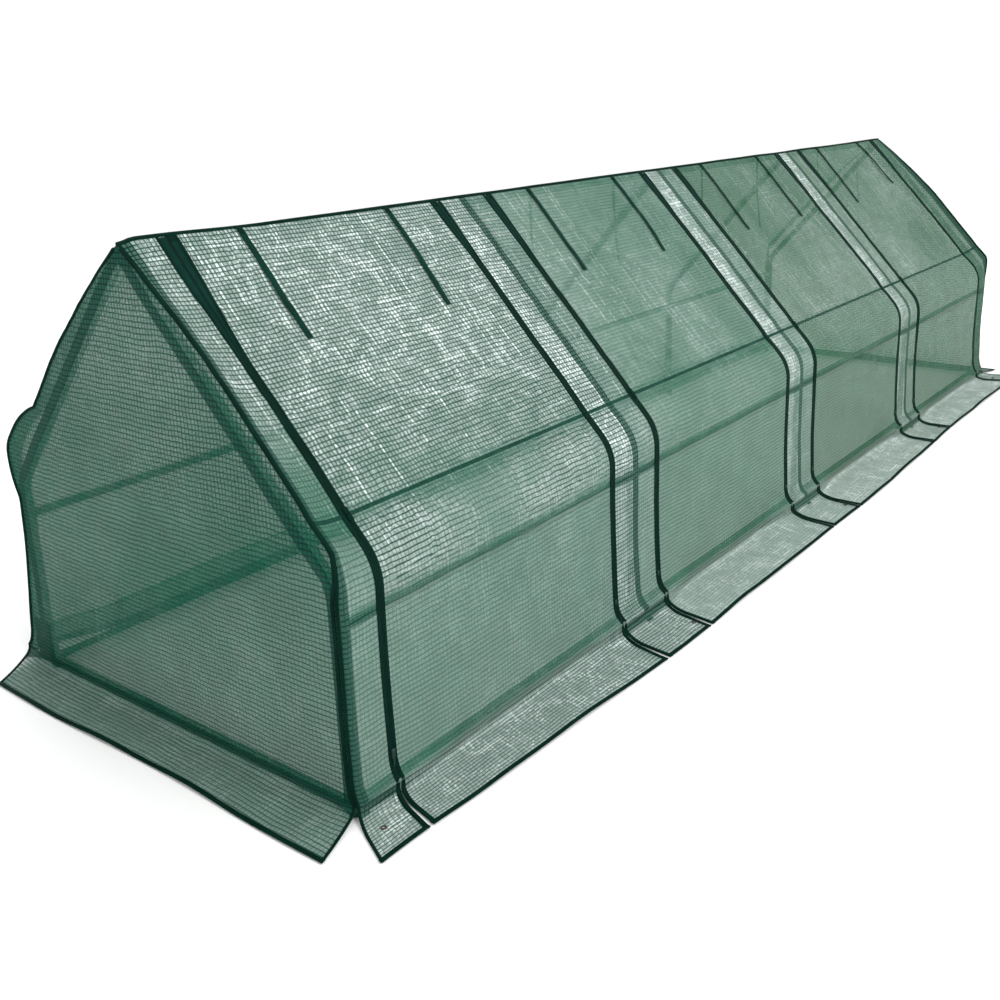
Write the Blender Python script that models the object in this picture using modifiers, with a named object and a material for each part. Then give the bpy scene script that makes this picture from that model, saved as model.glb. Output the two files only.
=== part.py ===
"""Row cover tunnel: a steel tube frame of five hoops under a zipped cloth cover.

Metres, +Z up. X runs along the tunnel, -Y is the side with the four doors, and the origin is
on the ground under the middle of the tunnel.
"""

import math

import bmesh
import bpy
from mathutils import Matrix, Vector

# Overall sizes
COVER_LENGTH = 3.600
COVER_WIDTH = 0.950
COVER_HEIGHT = 0.950
HOOP_COUNT = 5

# Tubes and moulded sockets
TUBE_RADIUS = 0.008
TUBE_WALL = 0.0008
SOCKET_WALL = 0.0020
ARM_WALL = 0.0016
SOCKET_CLEARANCE = 0.00015
SOCKET_DEPTH = 0.022
SOCKET_FLOOR = 0.004
TUBE_END_GAP = 0.0005
TUBE_BEVEL_RESOLUTION = 3
SOCKET_SIDES = 12
SHOULDER_RADIUS = 0.090
SHOULDER_STEPS = 5
SHOULDER_RISE = 0.004
SHARP_DEGREES = 40
PURLIN_HEIGHT = 0.358
RAIL_HEIGHT = 0.022
CUT_OVERRUN = 0.010

# Ridge joints
RIDGE_SLEEVE_LENGTH = 0.060
RIDGE_END_WALL = 0.0020
RIDGE_WEB_THICKNESS = 0.005
RIDGE_WEB_REACH = 0.030
COLLAR_LENGTH = 0.006
COLLAR_LIP = 0.0005

# Cloth
FILM_THICKNESS = 0.0010
BINDING_THICKNESS = 0.0024
BINDING_WIDTH = 0.009
CLOTH_GAP = 0.0005
SEWN_GAP = 0.0005
ZIP_GAP = 0.0006
RIDGE_LAP = 0.009
SEAM_ABOVE_SHOULDER = 0.060
HINGE_LIFT = 0.0006
ROOF_SAG = 0.007
WALL_BILLOW = 0.006
END_BILLOW = 0.008
END_LOOSENESS = 0.034
RIDGE_ARC_STEPS = 4

# Skirt that lies on the ground
SKIRT_HEIGHT = 0.038
SKIRT_WIDTH = 0.155
END_SKIRT_WIDTH = 0.110
SKIRT_CLEARANCE = 0.0006
SKIRT_WAVE = 0.006
CORNER_FLARE = 0.065
END_SKIRT_FLARE = 0.034

# Doors
STRIP_WIDTH = 0.186
END_STRIP_WIDTH = 0.095

# Tie straps
TIE_WIDTH = 0.015
TIE_THICKNESS = 0.0010
TIE_LENGTH = 0.235
TIE_GAP = 0.0004
TIE_FROM_DOOR_EDGE = 0.160
TIE_TAPE_WIDTH = 0.012

# Zip sliders
SLIDER_WIDTH = 0.009
SLIDER_LENGTH = 0.018
SLIDER_DEPTH = 0.006
SLIDER_BEVEL = 0.0015
SLIDER_GAP = 0.0003
SLIDER_FROM_SKIRT = 0.034
PULL_WIDTH = 0.005
PULL_LENGTH = 0.026
PULL_THICKNESS = 0.0015
PULL_OVERLAP = 0.004

# Shares, chosen by hand, of the sizes that they follow
SKIRT_SHARES = (0.14, 0.42, 0.74, 1.0)
SKIRT_SLOPE_SHARE = 2.2
SLOPE_SHARES = (0.0, 0.22, 0.45, 0.7)
WALL_SHARES = (0.5,)
LOOSE_RISE_SHARE = 0.55
LOOSE_FADE_POWER = 2
CORNER_FLARE_POWER = 5
STRIP_COLUMN_SHARES = (0.5,)
DOOR_COLUMN_SHARES = (0.25, 0.5, 0.75)
BACK_COLUMNS_PER_BAY = 4
END_COLUMN_SHARES = (-0.55, 0.0, 0.55)
END_BINDING_LIMIT_SHARE = 0.4
SKIRT_WAVES_PER_BAY = 3

# Sizes that follow from those above
SOCKET_BORE = (TUBE_RADIUS + SOCKET_CLEARANCE) / math.cos(math.pi / SOCKET_SIDES)
SOCKET_RADIUS = TUBE_RADIUS + SOCKET_CLEARANCE + SOCKET_WALL
ARM_RADIUS = TUBE_RADIUS + SOCKET_CLEARANCE + ARM_WALL
FRAME_INSET = SOCKET_RADIUS + CLOTH_GAP
HALF_WIDTH = COVER_WIDTH / 2 - FILM_THICKNESS - FRAME_INSET
HALF_LENGTH = COVER_LENGTH / 2
END_HOOP_X = HALF_LENGTH - FRAME_INSET
HOOP_SPACING = 2 * END_HOOP_X / (HOOP_COUNT - 1)
RIDGE_Z = COVER_HEIGHT - BINDING_THICKNESS - FRAME_INSET
SOCKET_REACH = TUBE_RADIUS + SOCKET_FLOOR + SOCKET_DEPTH
SHOULDER_Z = PURLIN_HEIGHT + SOCKET_REACH + SHOULDER_RISE
DOOR_COUNT = HOOP_COUNT - 1
DOOR_OUTER = FRAME_INSET + BINDING_THICKNESS

# The roof line runs from the ridge and touches the shoulder's circle
CENTRE_Y = HALF_WIDTH - SHOULDER_RADIUS
CENTRE_DROP = RIDGE_Z - SHOULDER_Z
CENTRE_REACH = math.hypot(CENTRE_Y, CENTRE_DROP)
SLOPE_ANGLE = math.atan2(CENTRE_DROP, CENTRE_Y) - math.asin(SHOULDER_RADIUS / CENTRE_REACH)
SLOPE_LENGTH = math.sqrt(CENTRE_REACH ** 2 - SHOULDER_RADIUS ** 2)
SEAM_AT = SLOPE_LENGTH - SEAM_ABOVE_SHOULDER


# Scene, collections and materials

def clear_scene():
    """Remove every object, so the script can be run again in an open file."""
    for item in list(bpy.data.objects):
        bpy.data.objects.remove(item, do_unlink=True)


def new_collection(name):
    """Make a collection in the scene."""
    collection = bpy.data.collections.new(name)
    bpy.context.scene.collection.children.link(collection)
    return collection


def new_material(name, colour, roughness, metallic):
    """Make a Principled material."""
    material = bpy.data.materials.new(name)
    material.use_nodes = True
    shader = material.node_tree.nodes["Principled BSDF"]
    shader.inputs["Base Color"].default_value = (*colour, 1.0)
    shader.inputs["Roughness"].default_value = roughness
    shader.inputs["Metallic"].default_value = metallic
    return material


clear_scene()
PARTS = new_collection("row_cover_tunnel")
CUTTERS = new_collection("cutters")
FRAME_PAINT = {"colour": (0.016, 0.085, 0.050), "roughness": 0.42, "metallic": 0.0}
JOINT_PLASTIC = {"colour": (0.010, 0.045, 0.030), "roughness": 0.55, "metallic": 0.0}
CLOTH_GREEN = {"colour": (0.190, 0.400, 0.290), "roughness": 0.38, "metallic": 0.0}
TIE_GREEN = {"colour": (0.008, 0.050, 0.032), "roughness": 0.75, "metallic": 0.0}
ZIP_PLASTIC = {"colour": (0.012, 0.055, 0.036), "roughness": 0.50, "metallic": 0.0}


# Helpers for objects

def add_part(name, data, finish):
    """Link a named part with a material of its own."""
    item = bpy.data.objects.new(name, data)
    PARTS.objects.link(item)
    data.materials.clear()
    data.materials.append(new_material(name, **finish))
    return item


def add_cutter(name, mesh):
    """Link a solid that only adds to or cuts from a part."""
    item = bpy.data.objects.new(name, mesh)
    CUTTERS.objects.link(item)
    item.hide_render = True
    item.display_type = "WIRE"
    return item


def apply_boolean(item, operation, cutter):
    """Add a Boolean modifier that joins or cuts with another solid."""
    modifier = item.modifiers.new(cutter.name, "BOOLEAN")
    modifier.operation = operation
    modifier.solver = "EXACT"
    modifier.use_self = True
    modifier.object = cutter


def move_origin(item, origin, parent=None):
    """Put an object's origin at a world point while its mesh stays where it is."""
    item.data.transform(Matrix.Translation(-origin))
    item.location = origin
    if parent is not None:
        item.parent = parent
        item.location = origin - parent_place(parent)


def parent_place(empty):
    """World place of an empty that is only moved, never turned."""
    place = Vector(empty.location)
    while empty.parent is not None:
        empty = empty.parent
        place += Vector(empty.location)
    return place


def add_empty(name, place, parent=None):
    """Make an empty on a joint's axis."""
    empty = bpy.data.objects.new(name, None)
    PARTS.objects.link(empty)
    empty.location = place
    if parent is not None:
        empty.parent = parent
        empty.location = place - parent_place(parent)
    return empty


# Helpers for rods, sleeves and tubes

def add_rod(mesh_data, start, end, radius, sides=SOCKET_SIDES):
    """Add a solid round rod between two points."""
    start = Vector(start)
    end = Vector(end)
    along = end - start
    turn = along.to_track_quat("Z", "Y").to_matrix().to_4x4()
    half_facet = Matrix.Rotation(math.pi / sides, 4, "Z")
    place = Matrix.Translation((start + end) / 2) @ turn @ half_facet
    bmesh.ops.create_cone(mesh_data, cap_ends=True, segments=sides, radius1=radius, radius2=radius,
                          depth=along.length, matrix=place)


def rods_mesh(name, rods):
    """One mesh of several rods, each given as start, end and radius."""
    mesh_data = bmesh.new()
    for start, end, radius in rods:
        add_rod(mesh_data, start, end, radius)
    mesh = bpy.data.meshes.new(name)
    mesh_data.to_mesh(mesh)
    mesh_data.free()
    return mesh


def smooth(mesh):
    """Shade round walls smooth and keep the rims sharp."""
    mesh.shade_smooth()
    mesh.set_sharp_from_angle(angle=math.radians(SHARP_DEGREES))


def add_tube(name, points):
    """A hollow steel tube along a line of points, open at both ends."""
    curve = bpy.data.curves.new(name, "CURVE")
    curve.dimensions = "3D"
    curve.bevel_depth = TUBE_RADIUS
    curve.bevel_resolution = TUBE_BEVEL_RESOLUTION
    curve.use_fill_caps = False
    spline = curve.splines.new("POLY")
    spline.points.add(len(points) - 1)
    for point, place in zip(spline.points, points):
        point.co = (*place, 1.0)
    item = add_part(name, curve, FRAME_PAINT)
    wall = item.modifiers.new("wall", "SOLIDIFY")
    wall.thickness = TUBE_WALL
    wall.offset = -1.0
    return item


# The hoop's line: points in the YZ plane with their outward normal, on the +Y side

def slope_point(along, out):
    """A point on the roof slope, measured from the ridge, moved outward from the tube's line."""
    y = along * math.cos(SLOPE_ANGLE) + out * math.sin(SLOPE_ANGLE)
    z = RIDGE_Z - along * math.sin(SLOPE_ANGLE) + out * math.cos(SLOPE_ANGLE)
    return y, z


def shoulder_point(turn, out):
    """A point on the shoulder: turn 0 is the top of the bend and 1 the bottom."""
    angle = (math.pi / 2 - SLOPE_ANGLE) * (1 - turn)
    reach = SHOULDER_RADIUS + out
    return CENTRE_Y + reach * math.cos(angle), SHOULDER_Z + reach * math.sin(angle)


def shoulder_turns():
    """The steps of the bend, the same for tubes and cloth so their facets lie side by side."""
    return [step / SHOULDER_STEPS for step in range(SHOULDER_STEPS + 1)]


def hoop_x(index):
    """Place of a hoop along the tunnel, from 0 at the near end."""
    return -END_HOOP_X + index * HOOP_SPACING


# Frame: ridge joints, which carry the ridge tube and two rafters each

def arm_point(side, along):
    """A point on the axis of a ridge joint's arm, measured from the joint's centre."""
    y, z = slope_point(along, 0)
    return 0, side * y, z - RIDGE_Z


def web_mesh(name):
    """The triangular web between the two socket arms, under the ridge sleeve."""
    outline = [(0, 0)] + [arm_point(side, RIDGE_WEB_REACH)[1:] for side in (-1, 1)]
    mesh_data = bmesh.new()
    corners = [mesh_data.verts.new((-RIDGE_WEB_THICKNESS / 2, y, z)) for y, z in outline]
    face = mesh_data.faces.new(corners)
    swept = bmesh.ops.extrude_face_region(mesh_data, geom=[face])["geom"]
    moved = [part for part in swept if isinstance(part, bmesh.types.BMVert)]
    bmesh.ops.translate(mesh_data, verts=moved, vec=(RIDGE_WEB_THICKNESS, 0, 0))
    bmesh.ops.recalc_face_normals(mesh_data, faces=mesh_data.faces)
    mesh = bpy.data.meshes.new(name)
    mesh_data.to_mesh(mesh)
    mesh_data.free()
    return mesh


def add_ridge_joint(index):
    """A moulded joint: a sleeve on the ridge tube, two collared socket arms and a web."""
    name = f"ridge_joint_{index + 1}"
    place = Vector((hoop_x(index), 0, RIDGE_Z))
    low = -RIDGE_SLEEVE_LENGTH / 2
    high = RIDGE_SLEEVE_LENGTH / 2
    bore_low = low - CUT_OVERRUN
    bore_high = high + CUT_OVERRUN
    if index == 0:
        low = -SOCKET_RADIUS
        bore_low = low + RIDGE_END_WALL
    if index == HOOP_COUNT - 1:
        high = SOCKET_RADIUS
        bore_high = high - RIDGE_END_WALL
    joint = add_part(name, rods_mesh(name, [((low, 0, 0), (high, 0, 0), SOCKET_RADIUS)]), JOINT_PLASTIC)
    joint.location = place
    arms = []
    bores = [((bore_low, 0, 0), (bore_high, 0, 0), SOCKET_BORE)]
    for side in (-1, 1):
        lip = arm_point(side, SOCKET_REACH - COLLAR_LIP)
        arms.append((arm_point(side, 0), lip, ARM_RADIUS))
        ring = arm_point(side, SOCKET_REACH - COLLAR_LENGTH)
        arms.append((ring, arm_point(side, SOCKET_REACH), SOCKET_RADIUS))
        floor = arm_point(side, TUBE_RADIUS + SOCKET_FLOOR)
        bores.append((floor, arm_point(side, SOCKET_REACH + CUT_OVERRUN), SOCKET_BORE))
    arm_cutter = add_cutter(f"{name}_arms", rods_mesh("arms", arms))
    arm_cutter.location = place
    apply_boolean(joint, "UNION", arm_cutter)
    web = add_cutter(f"{name}_web", web_mesh("web"))
    web.location = place
    apply_boolean(joint, "UNION", web)
    bore_cutter = add_cutter(f"{name}_bores", rods_mesh("bores", bores))
    bore_cutter.location = place
    apply_boolean(joint, "DIFFERENCE", bore_cutter)
    smooth(joint.data)


def add_ridge_tube():
    """The ridge tube, in the sleeves of all five ridge joints."""
    reach = END_HOOP_X + SOCKET_RADIUS - RIDGE_END_WALL - TUBE_END_GAP
    add_tube("ridge_tube", [(-reach, 0, RIDGE_Z), (reach, 0, RIDGE_Z)])


# Frame: rafters and legs

def add_rafter(index, side, label):
    """A roof tube with the shoulder bend and a short straight end for the purlin's socket."""
    x = hoop_x(index)
    line = [slope_point(TUBE_RADIUS + SOCKET_FLOOR + TUBE_END_GAP, 0)]
    line += [shoulder_point(turn, 0) for turn in shoulder_turns()]
    line.append((HALF_WIDTH, PURLIN_HEIGHT + TUBE_RADIUS + SOCKET_FLOOR + TUBE_END_GAP))
    add_tube(f"{label}_rafter_{index + 1}", [(x, side * y, z) for y, z in line])


def add_leg(index, side, label):
    """A straight leg between the foot socket and the purlin's lower socket."""
    x = hoop_x(index)
    low = RAIL_HEIGHT + TUBE_RADIUS + SOCKET_FLOOR + TUBE_END_GAP
    high = PURLIN_HEIGHT - TUBE_RADIUS - SOCKET_FLOOR - TUBE_END_GAP
    add_tube(f"{label}_leg_{index + 1}", [(x, side * HALF_WIDTH, low), (x, side * HALF_WIDTH, high)])


# Frame: purlins, base rails and end rails, tubes that carry moulded sockets

def add_rail(name, start, end, sleeves, arms, cuts):
    """A tube between two points, joined to its moulded sockets, with the sockets' bores cut."""
    start = Vector(start)
    end = Vector(end)
    rail = add_part(name, rods_mesh(name, [(start, end, TUBE_RADIUS)]), FRAME_PAINT)
    apply_boolean(rail, "UNION", add_cutter(f"{name}_sleeves", rods_mesh("sleeves", sleeves)))
    if arms:
        apply_boolean(rail, "UNION", add_cutter(f"{name}_arms", rods_mesh("arms", arms)))
    beyond = (end - start).normalized() * (SOCKET_RADIUS + CUT_OVERRUN)
    bore = (start - beyond, end + beyond, TUBE_RADIUS - TUBE_WALL)
    apply_boolean(rail, "DIFFERENCE", add_cutter(f"{name}_bores", rods_mesh("bores", [bore] + cuts)))
    smooth(rail.data)


def add_purlin(side, label):
    """The side tube at shoulder height, with a socket up and a socket down at each hoop."""
    y = side * HALF_WIDTH
    sleeves = []
    cuts = []
    for index in range(HOOP_COUNT):
        x = hoop_x(index)
        low = (x, y, PURLIN_HEIGHT - SOCKET_REACH)
        high = (x, y, PURLIN_HEIGHT + SOCKET_REACH)
        sleeves.append((low, high, SOCKET_RADIUS))
        for way in (-1, 1):
            floor = PURLIN_HEIGHT + way * (TUBE_RADIUS + SOCKET_FLOOR)
            mouth = PURLIN_HEIGHT + way * (SOCKET_REACH + CUT_OVERRUN)
            cuts.append(((x, y, floor), (x, y, mouth), SOCKET_BORE))
    start = (-END_HOOP_X, y, PURLIN_HEIGHT)
    add_rail(f"{label}_purlin", start, (END_HOOP_X, y, PURLIN_HEIGHT), sleeves, [], cuts)


def foot_socket(x, y):
    """A foot that stands on the ground and takes a leg from above: its sleeve and its bore."""
    top = RAIL_HEIGHT + SOCKET_REACH
    floor = RAIL_HEIGHT + TUBE_RADIUS + SOCKET_FLOOR
    sleeve = ((x, y, 0), (x, y, top), SOCKET_RADIUS)
    return sleeve, ((x, y, floor), (x, y, top + CUT_OVERRUN), SOCKET_BORE)


def add_base_rail(side, label):
    """The ground rail along one side, with a foot at each middle hoop."""
    y = side * HALF_WIDTH
    feet = [foot_socket(hoop_x(index), y) for index in range(1, HOOP_COUNT - 1)]
    reach = END_HOOP_X - TUBE_RADIUS - SOCKET_FLOOR - TUBE_END_GAP
    start = (-reach, y, RAIL_HEIGHT)
    sleeves = [sleeve for sleeve, _ in feet]
    cuts = [cut for _, cut in feet]
    add_rail(f"{label}_base_rail", start, (reach, y, RAIL_HEIGHT), sleeves, [], cuts)


def add_end_rail(end, label):
    """The ground rail across one end, with a corner foot at both sides that holds the base rail."""
    x = end * END_HOOP_X
    feet = [foot_socket(x, side * HALF_WIDTH) for side in (-1, 1)]
    sleeves = [sleeve for sleeve, _ in feet]
    cuts = [cut for _, cut in feet]
    mouth = x - end * SOCKET_REACH
    floor = x - end * (TUBE_RADIUS + SOCKET_FLOOR)
    beyond = mouth - end * CUT_OVERRUN
    arms = []
    for y in (-HALF_WIDTH, HALF_WIDTH):
        arms.append(((x, y, RAIL_HEIGHT), (mouth, y, RAIL_HEIGHT), ARM_RADIUS))
        cuts.append(((floor, y, RAIL_HEIGHT), (beyond, y, RAIL_HEIGHT), SOCKET_BORE))
    start = (x, -HALF_WIDTH, RAIL_HEIGHT)
    add_rail(f"{label}_end_rail", start, (x, HALF_WIDTH, RAIL_HEIGHT), sleeves, arms, cuts)


# Cloth: rows of the sheets, each a point on the inner face with its outward normal

def slope_row(along, side):
    """A row of the roof."""
    y, z = slope_point(along, FRAME_INSET)
    return side * y, z, side * math.sin(SLOPE_ANGLE), math.cos(SLOPE_ANGLE)


def shoulder_row(turn, side):
    """A row of the bend."""
    y, z = shoulder_point(turn, FRAME_INSET)
    angle = (math.pi / 2 - SLOPE_ANGLE) * (1 - turn)
    return side * y, z, side * math.cos(angle), math.sin(angle)


def wall_row(z, side):
    """A row of the upright wall."""
    return side * (HALF_WIDTH + FRAME_INSET), z, side, 0.0


def skirt_row(share, side):
    """A row of the skirt, which leaves the wall steeply and lies flatter towards its hem."""
    out = share * SKIRT_WIDTH
    y = side * (HALF_WIDTH + FRAME_INSET + out)
    return y, skirt_z(share), 0.0, 1.0


def skirt_z(share):
    """Height of the skirt's underside at a share of its width."""
    return SKIRT_CLEARANCE + (SKIRT_HEIGHT - SKIRT_CLEARANCE) * (1 - share) ** SKIRT_SLOPE_SHARE


def wall_rows(side):
    """The rows from the shoulder's top to the skirt's top."""
    rows = [shoulder_row(turn, side) for turn in shoulder_turns()]
    for share in WALL_SHARES:
        rows.append(wall_row(SHOULDER_Z + share * (SKIRT_HEIGHT - SHOULDER_Z), side))
    rows.append(wall_row(SKIRT_HEIGHT, side))
    return rows


def column_places(low, high, shares):
    """Places of the columns of a sheet, with a narrow column for the binding at each edge."""
    inner_low = low + BINDING_WIDTH
    inner_high = high - BINDING_WIDTH
    middle = [inner_low + share * (inner_high - inner_low) for share in shares]
    return [low, inner_low] + middle + [inner_high, high]


def sheet_grid(columns, rows, place):
    """A grid of quads whose corners are placed by a function of the column and row index."""
    mesh_data = bmesh.new()
    width = len(columns) - 1
    height = len(rows) - 1
    bmesh.ops.create_grid(mesh_data, x_segments=width, y_segments=height, size=0.5)
    for vert in mesh_data.verts:
        column = round((vert.co.x + 0.5) * width)
        row = round((vert.co.y + 0.5) * height)
        vert.co = place(column, row)
    return mesh_data


def face_outward(mesh_data, outward):
    """Turn the faces so that the first of them looks outward."""
    mesh_data.faces.ensure_lookup_table()
    mesh_data.normal_update()
    if mesh_data.faces[0].normal.dot(Vector(outward)) < 0:
        bmesh.ops.reverse_faces(mesh_data, faces=mesh_data.faces)


def add_cloth(name, mesh_data, is_edge, finish=CLOTH_GREEN):
    """A film of cloth, thicker along its bound edges, grown outward from its inner face."""
    mesh = bpy.data.meshes.new(name)
    mesh_data.to_mesh(mesh)
    mesh_data.free()
    item = add_part(name, mesh, finish)
    group = item.vertex_groups.new(name="binding")
    group.add(is_edge, 1.0, "REPLACE")
    film = item.modifiers.new("film", "SOLIDIFY")
    film.thickness = BINDING_THICKNESS
    film.vertex_group = group.name
    film.thickness_vertex_group = FILM_THICKNESS / BINDING_THICKNESS
    film.offset = 1.0
    film.use_even_offset = False
    smooth(mesh)
    return item


def grid_edges(mesh_data, columns, rows, side_edges=True, first_row=True, last_row=True):
    """Indices of the corners on the bound edges of a grid."""
    width = len(columns)
    height = len(rows)
    found = []
    mesh_data.verts.ensure_lookup_table()
    mesh_data.verts.index_update()
    for vert in mesh_data.verts:
        column = vert.index % width
        row = vert.index // width
        on_side = side_edges and column in (0, width - 1)
        on_first = first_row and row == 0
        on_last = last_row and row == height - 1
        if on_side or on_first or on_last:
            found.append(vert.index)
    return found


def bump(share):
    """0 at both ends of a span and 1 in its middle."""
    return math.sin(math.pi * min(max(share, 0.0), 1.0))


def skirt_lift(x, share):
    """How far the skirt's waves stand above the ground."""
    phase = 2 * math.pi * SKIRT_WAVES_PER_BAY * x / HOOP_SPACING
    return SKIRT_WAVE * share * (0.5 - 0.5 * math.cos(phase))


def slope_stations(first):
    """Distances from the ridge of the rows of a roof, above its shoulder."""
    return [first + share * (SLOPE_LENGTH - first) for share in SLOPE_SHARES]


def slope_looseness(along):
    """How loose the cover is on the roof slope at its ends, as a share of END_LOOSENESS."""
    return math.sin(math.pi / 2 * min(along / (LOOSE_RISE_SHARE * SLOPE_LENGTH), 1.0))


def shoulder_looseness(turn):
    """How loose the cover is on the shoulder at its ends, as a share of END_LOOSENESS."""
    return (1 - turn) ** LOOSE_FADE_POWER


def looseness_at(x):
    """How far the cover stands off the frame near its ends, where it is loosest."""
    share = max(0.0, 1 - (HALF_LENGTH - abs(x)) / END_STRIP_WIDTH)
    return END_LOOSENESS * share ** LOOSE_FADE_POWER


def side_sheet(name, low, high, shares, rows, pushes, outward, flare=(0.0, 0.0), bound_top=True):
    """A sheet on one long side. pushes gives for each row its billow and its shares of skirt and
    looseness."""
    columns = column_places(low, high, shares)

    def place(column, row):
        y, z, normal_y, normal_z = rows[row]
        billow, skirt_share, loose_share = pushes[row]
        x = columns[column]
        span = (x - low) / (high - low)
        away = billow * bump(span) + loose_share * looseness_at(x)
        x += skirt_share * (flare[0] * (1 - span) + flare[1] * span)
        lift = skirt_lift(x, skirt_share) * bump(span)
        return Vector((x, y + away * normal_y, z + away * normal_z + lift))

    mesh_data = sheet_grid(columns, rows, place)
    edges = grid_edges(mesh_data, columns, rows, first_row=bound_top)
    face_outward(mesh_data, outward)
    return add_cloth(name, mesh_data, edges)


# Cloth: the four doors, each a roof flap and a wall flap that fold at the seam above the shoulder

def door_span(index):
    """The two side edges of a door."""
    low = hoop_x(index) + STRIP_WIDTH / 2
    high = hoop_x(index + 1) - STRIP_WIDTH / 2
    if index == 0:
        low = -HALF_LENGTH + END_STRIP_WIDTH
    if index == DOOR_COUNT - 1:
        high = HALF_LENGTH - END_STRIP_WIDTH
    return low + ZIP_GAP / 2, high - ZIP_GAP / 2


def tie_places(low, high):
    """The four long edges of a door's two tie straps."""
    first = low + TIE_FROM_DOOR_EDGE
    second = high - TIE_FROM_DOOR_EDGE
    return [first - TIE_WIDTH / 2, first + TIE_WIDTH / 2, second - TIE_WIDTH / 2, second + TIE_WIDTH / 2]


def roof_stations():
    """Distances of the roof flap's rows from the ridge."""
    top = RIDGE_LAP + ZIP_GAP
    tape_low = top + BINDING_WIDTH
    tape_high = tape_low + TIE_TAPE_WIDTH
    tie_end = tape_low + TIE_LENGTH
    bottom = SEAM_AT - ZIP_GAP / 2
    middle = (tie_end + bottom) / 2
    return [top, tape_low, tape_high, tie_end, middle, bottom]


def roof_sag_at(along):
    """Sag of a door's roof at a distance from the ridge, nothing at the ridge and the seam."""
    return -ROOF_SAG * bump((along - RIDGE_LAP) / (SEAM_AT - RIDGE_LAP))


def roof_columns(low, high):
    """Columns of the roof flap, with one on each edge of a tie strap."""
    ties = tie_places(low, high)
    middle = (low + high) / 2
    return [low, low + BINDING_WIDTH] + ties[:2] + [middle] + ties[2:] + [high - BINDING_WIDTH, high]


def roof_surface(low, high, columns, stations, lift):
    """A function that places a column and a row on the sagging roof, lifted off its inner face."""
    def place(column, row):
        x = columns[column]
        y, z, normal_y, normal_z = slope_row(stations[row], -1)
        away = lift + roof_sag_at(stations[row]) * bump((x - low) / (high - low))
        return Vector((x, y + away * normal_y, z + away * normal_z))
    return place


def add_roof_flap(index, hinge):
    """The roof half of a door, hung from the ridge."""
    low, high = door_span(index)
    columns = roof_columns(low, high)
    stations = roof_stations()
    mesh_data = sheet_grid(columns, stations, roof_surface(low, high, columns, stations, 0.0))
    edges = grid_edges(mesh_data, columns, stations, last_row=False)
    face_outward(mesh_data, (0, -1, 1))
    flap = add_cloth(f"roof_flap_{index + 1}", mesh_data, edges)
    move_origin(flap, parent_place(hinge), hinge)


def add_door_ties(index, hinge):
    """Two tie straps on a tape that is sewn under the top edge of a door."""
    low, high = door_span(index)
    stations = roof_stations()[1:4]
    columns = tie_places(low, high)
    columns = columns[:2] + [(low + high) / 2] + columns[2:]
    lift = FILM_THICKNESS + TIE_GAP
    mesh_data = sheet_grid(columns, stations, roof_surface(low, high, columns, stations, lift))
    tape_y = slope_point(stations[1], FRAME_INSET)[0]
    gap = []
    for face in mesh_data.faces:
        middle = face.calc_center_median()
        if columns[1] < middle.x < columns[3] and -middle.y > tape_y:
            gap.append(face)
    bmesh.ops.delete(mesh_data, geom=gap, context="FACES")
    face_outward(mesh_data, (0, -1, 1))
    mesh = bpy.data.meshes.new(f"door_ties_{index + 1}")
    mesh_data.to_mesh(mesh)
    mesh_data.free()
    ties = add_part(f"door_ties_{index + 1}", mesh, TIE_GREEN)
    web = ties.modifiers.new("webbing", "SOLIDIFY")
    web.thickness = TIE_THICKNESS
    web.offset = 1.0
    move_origin(ties, parent_place(hinge), hinge)


def add_wall_flap(index, hinge):
    """The wall half of a door: shoulder, upright wall and its length of skirt."""
    low, high = door_span(index)
    side = -1
    top = SEAM_AT + ZIP_GAP / 2
    rows = [slope_row(top, side)] + wall_rows(side) + [skirt_row(share, side) for share in SKIRT_SHARES]
    still = (0.0, 0.0, 0.0)
    pushes = [still] * (1 + len(shoulder_turns()))
    pushes += [(WALL_BILLOW * bump(share), 0.0, 0.0) for share in WALL_SHARES] + [still]
    pushes += [(0.0, share, 0.0) for share in SKIRT_SHARES]
    flap = side_sheet(f"wall_flap_{index + 1}", low, high, DOOR_COLUMN_SHARES, rows, pushes,
                      (0, -1, 1), bound_top=False)
    move_origin(flap, parent_place(hinge), hinge)


# Zip sliders, one on each side edge of a wall flap

def slider_solid(name):
    """A slider with its hanging pull, made around its own centre."""
    mesh_data = bmesh.new()
    bmesh.ops.create_cube(mesh_data, size=1.0)
    mesh_data.transform(Matrix.Diagonal((SLIDER_WIDTH, SLIDER_DEPTH, SLIDER_LENGTH, 1.0)))
    bmesh.ops.bevel(mesh_data, geom=mesh_data.edges, offset=SLIDER_BEVEL, segments=1, affect="EDGES")
    mesh = bpy.data.meshes.new(name)
    mesh_data.to_mesh(mesh)
    mesh_data.free()
    return mesh


def pull_solid(name):
    """The pull, a flat tab that hangs from the slider's front."""
    mesh_data = bmesh.new()
    bmesh.ops.create_cube(mesh_data, size=1.0)
    mesh_data.transform(Matrix.Diagonal((PULL_WIDTH, PULL_THICKNESS, PULL_LENGTH, 1.0)))
    drop = SLIDER_LENGTH / 2 + PULL_LENGTH / 2 - PULL_OVERLAP
    mesh_data.transform(Matrix.Translation((0, -SLIDER_DEPTH / 2 + PULL_THICKNESS, -drop)))
    mesh = bpy.data.meshes.new(name)
    mesh_data.to_mesh(mesh)
    mesh_data.free()
    return mesh


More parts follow.
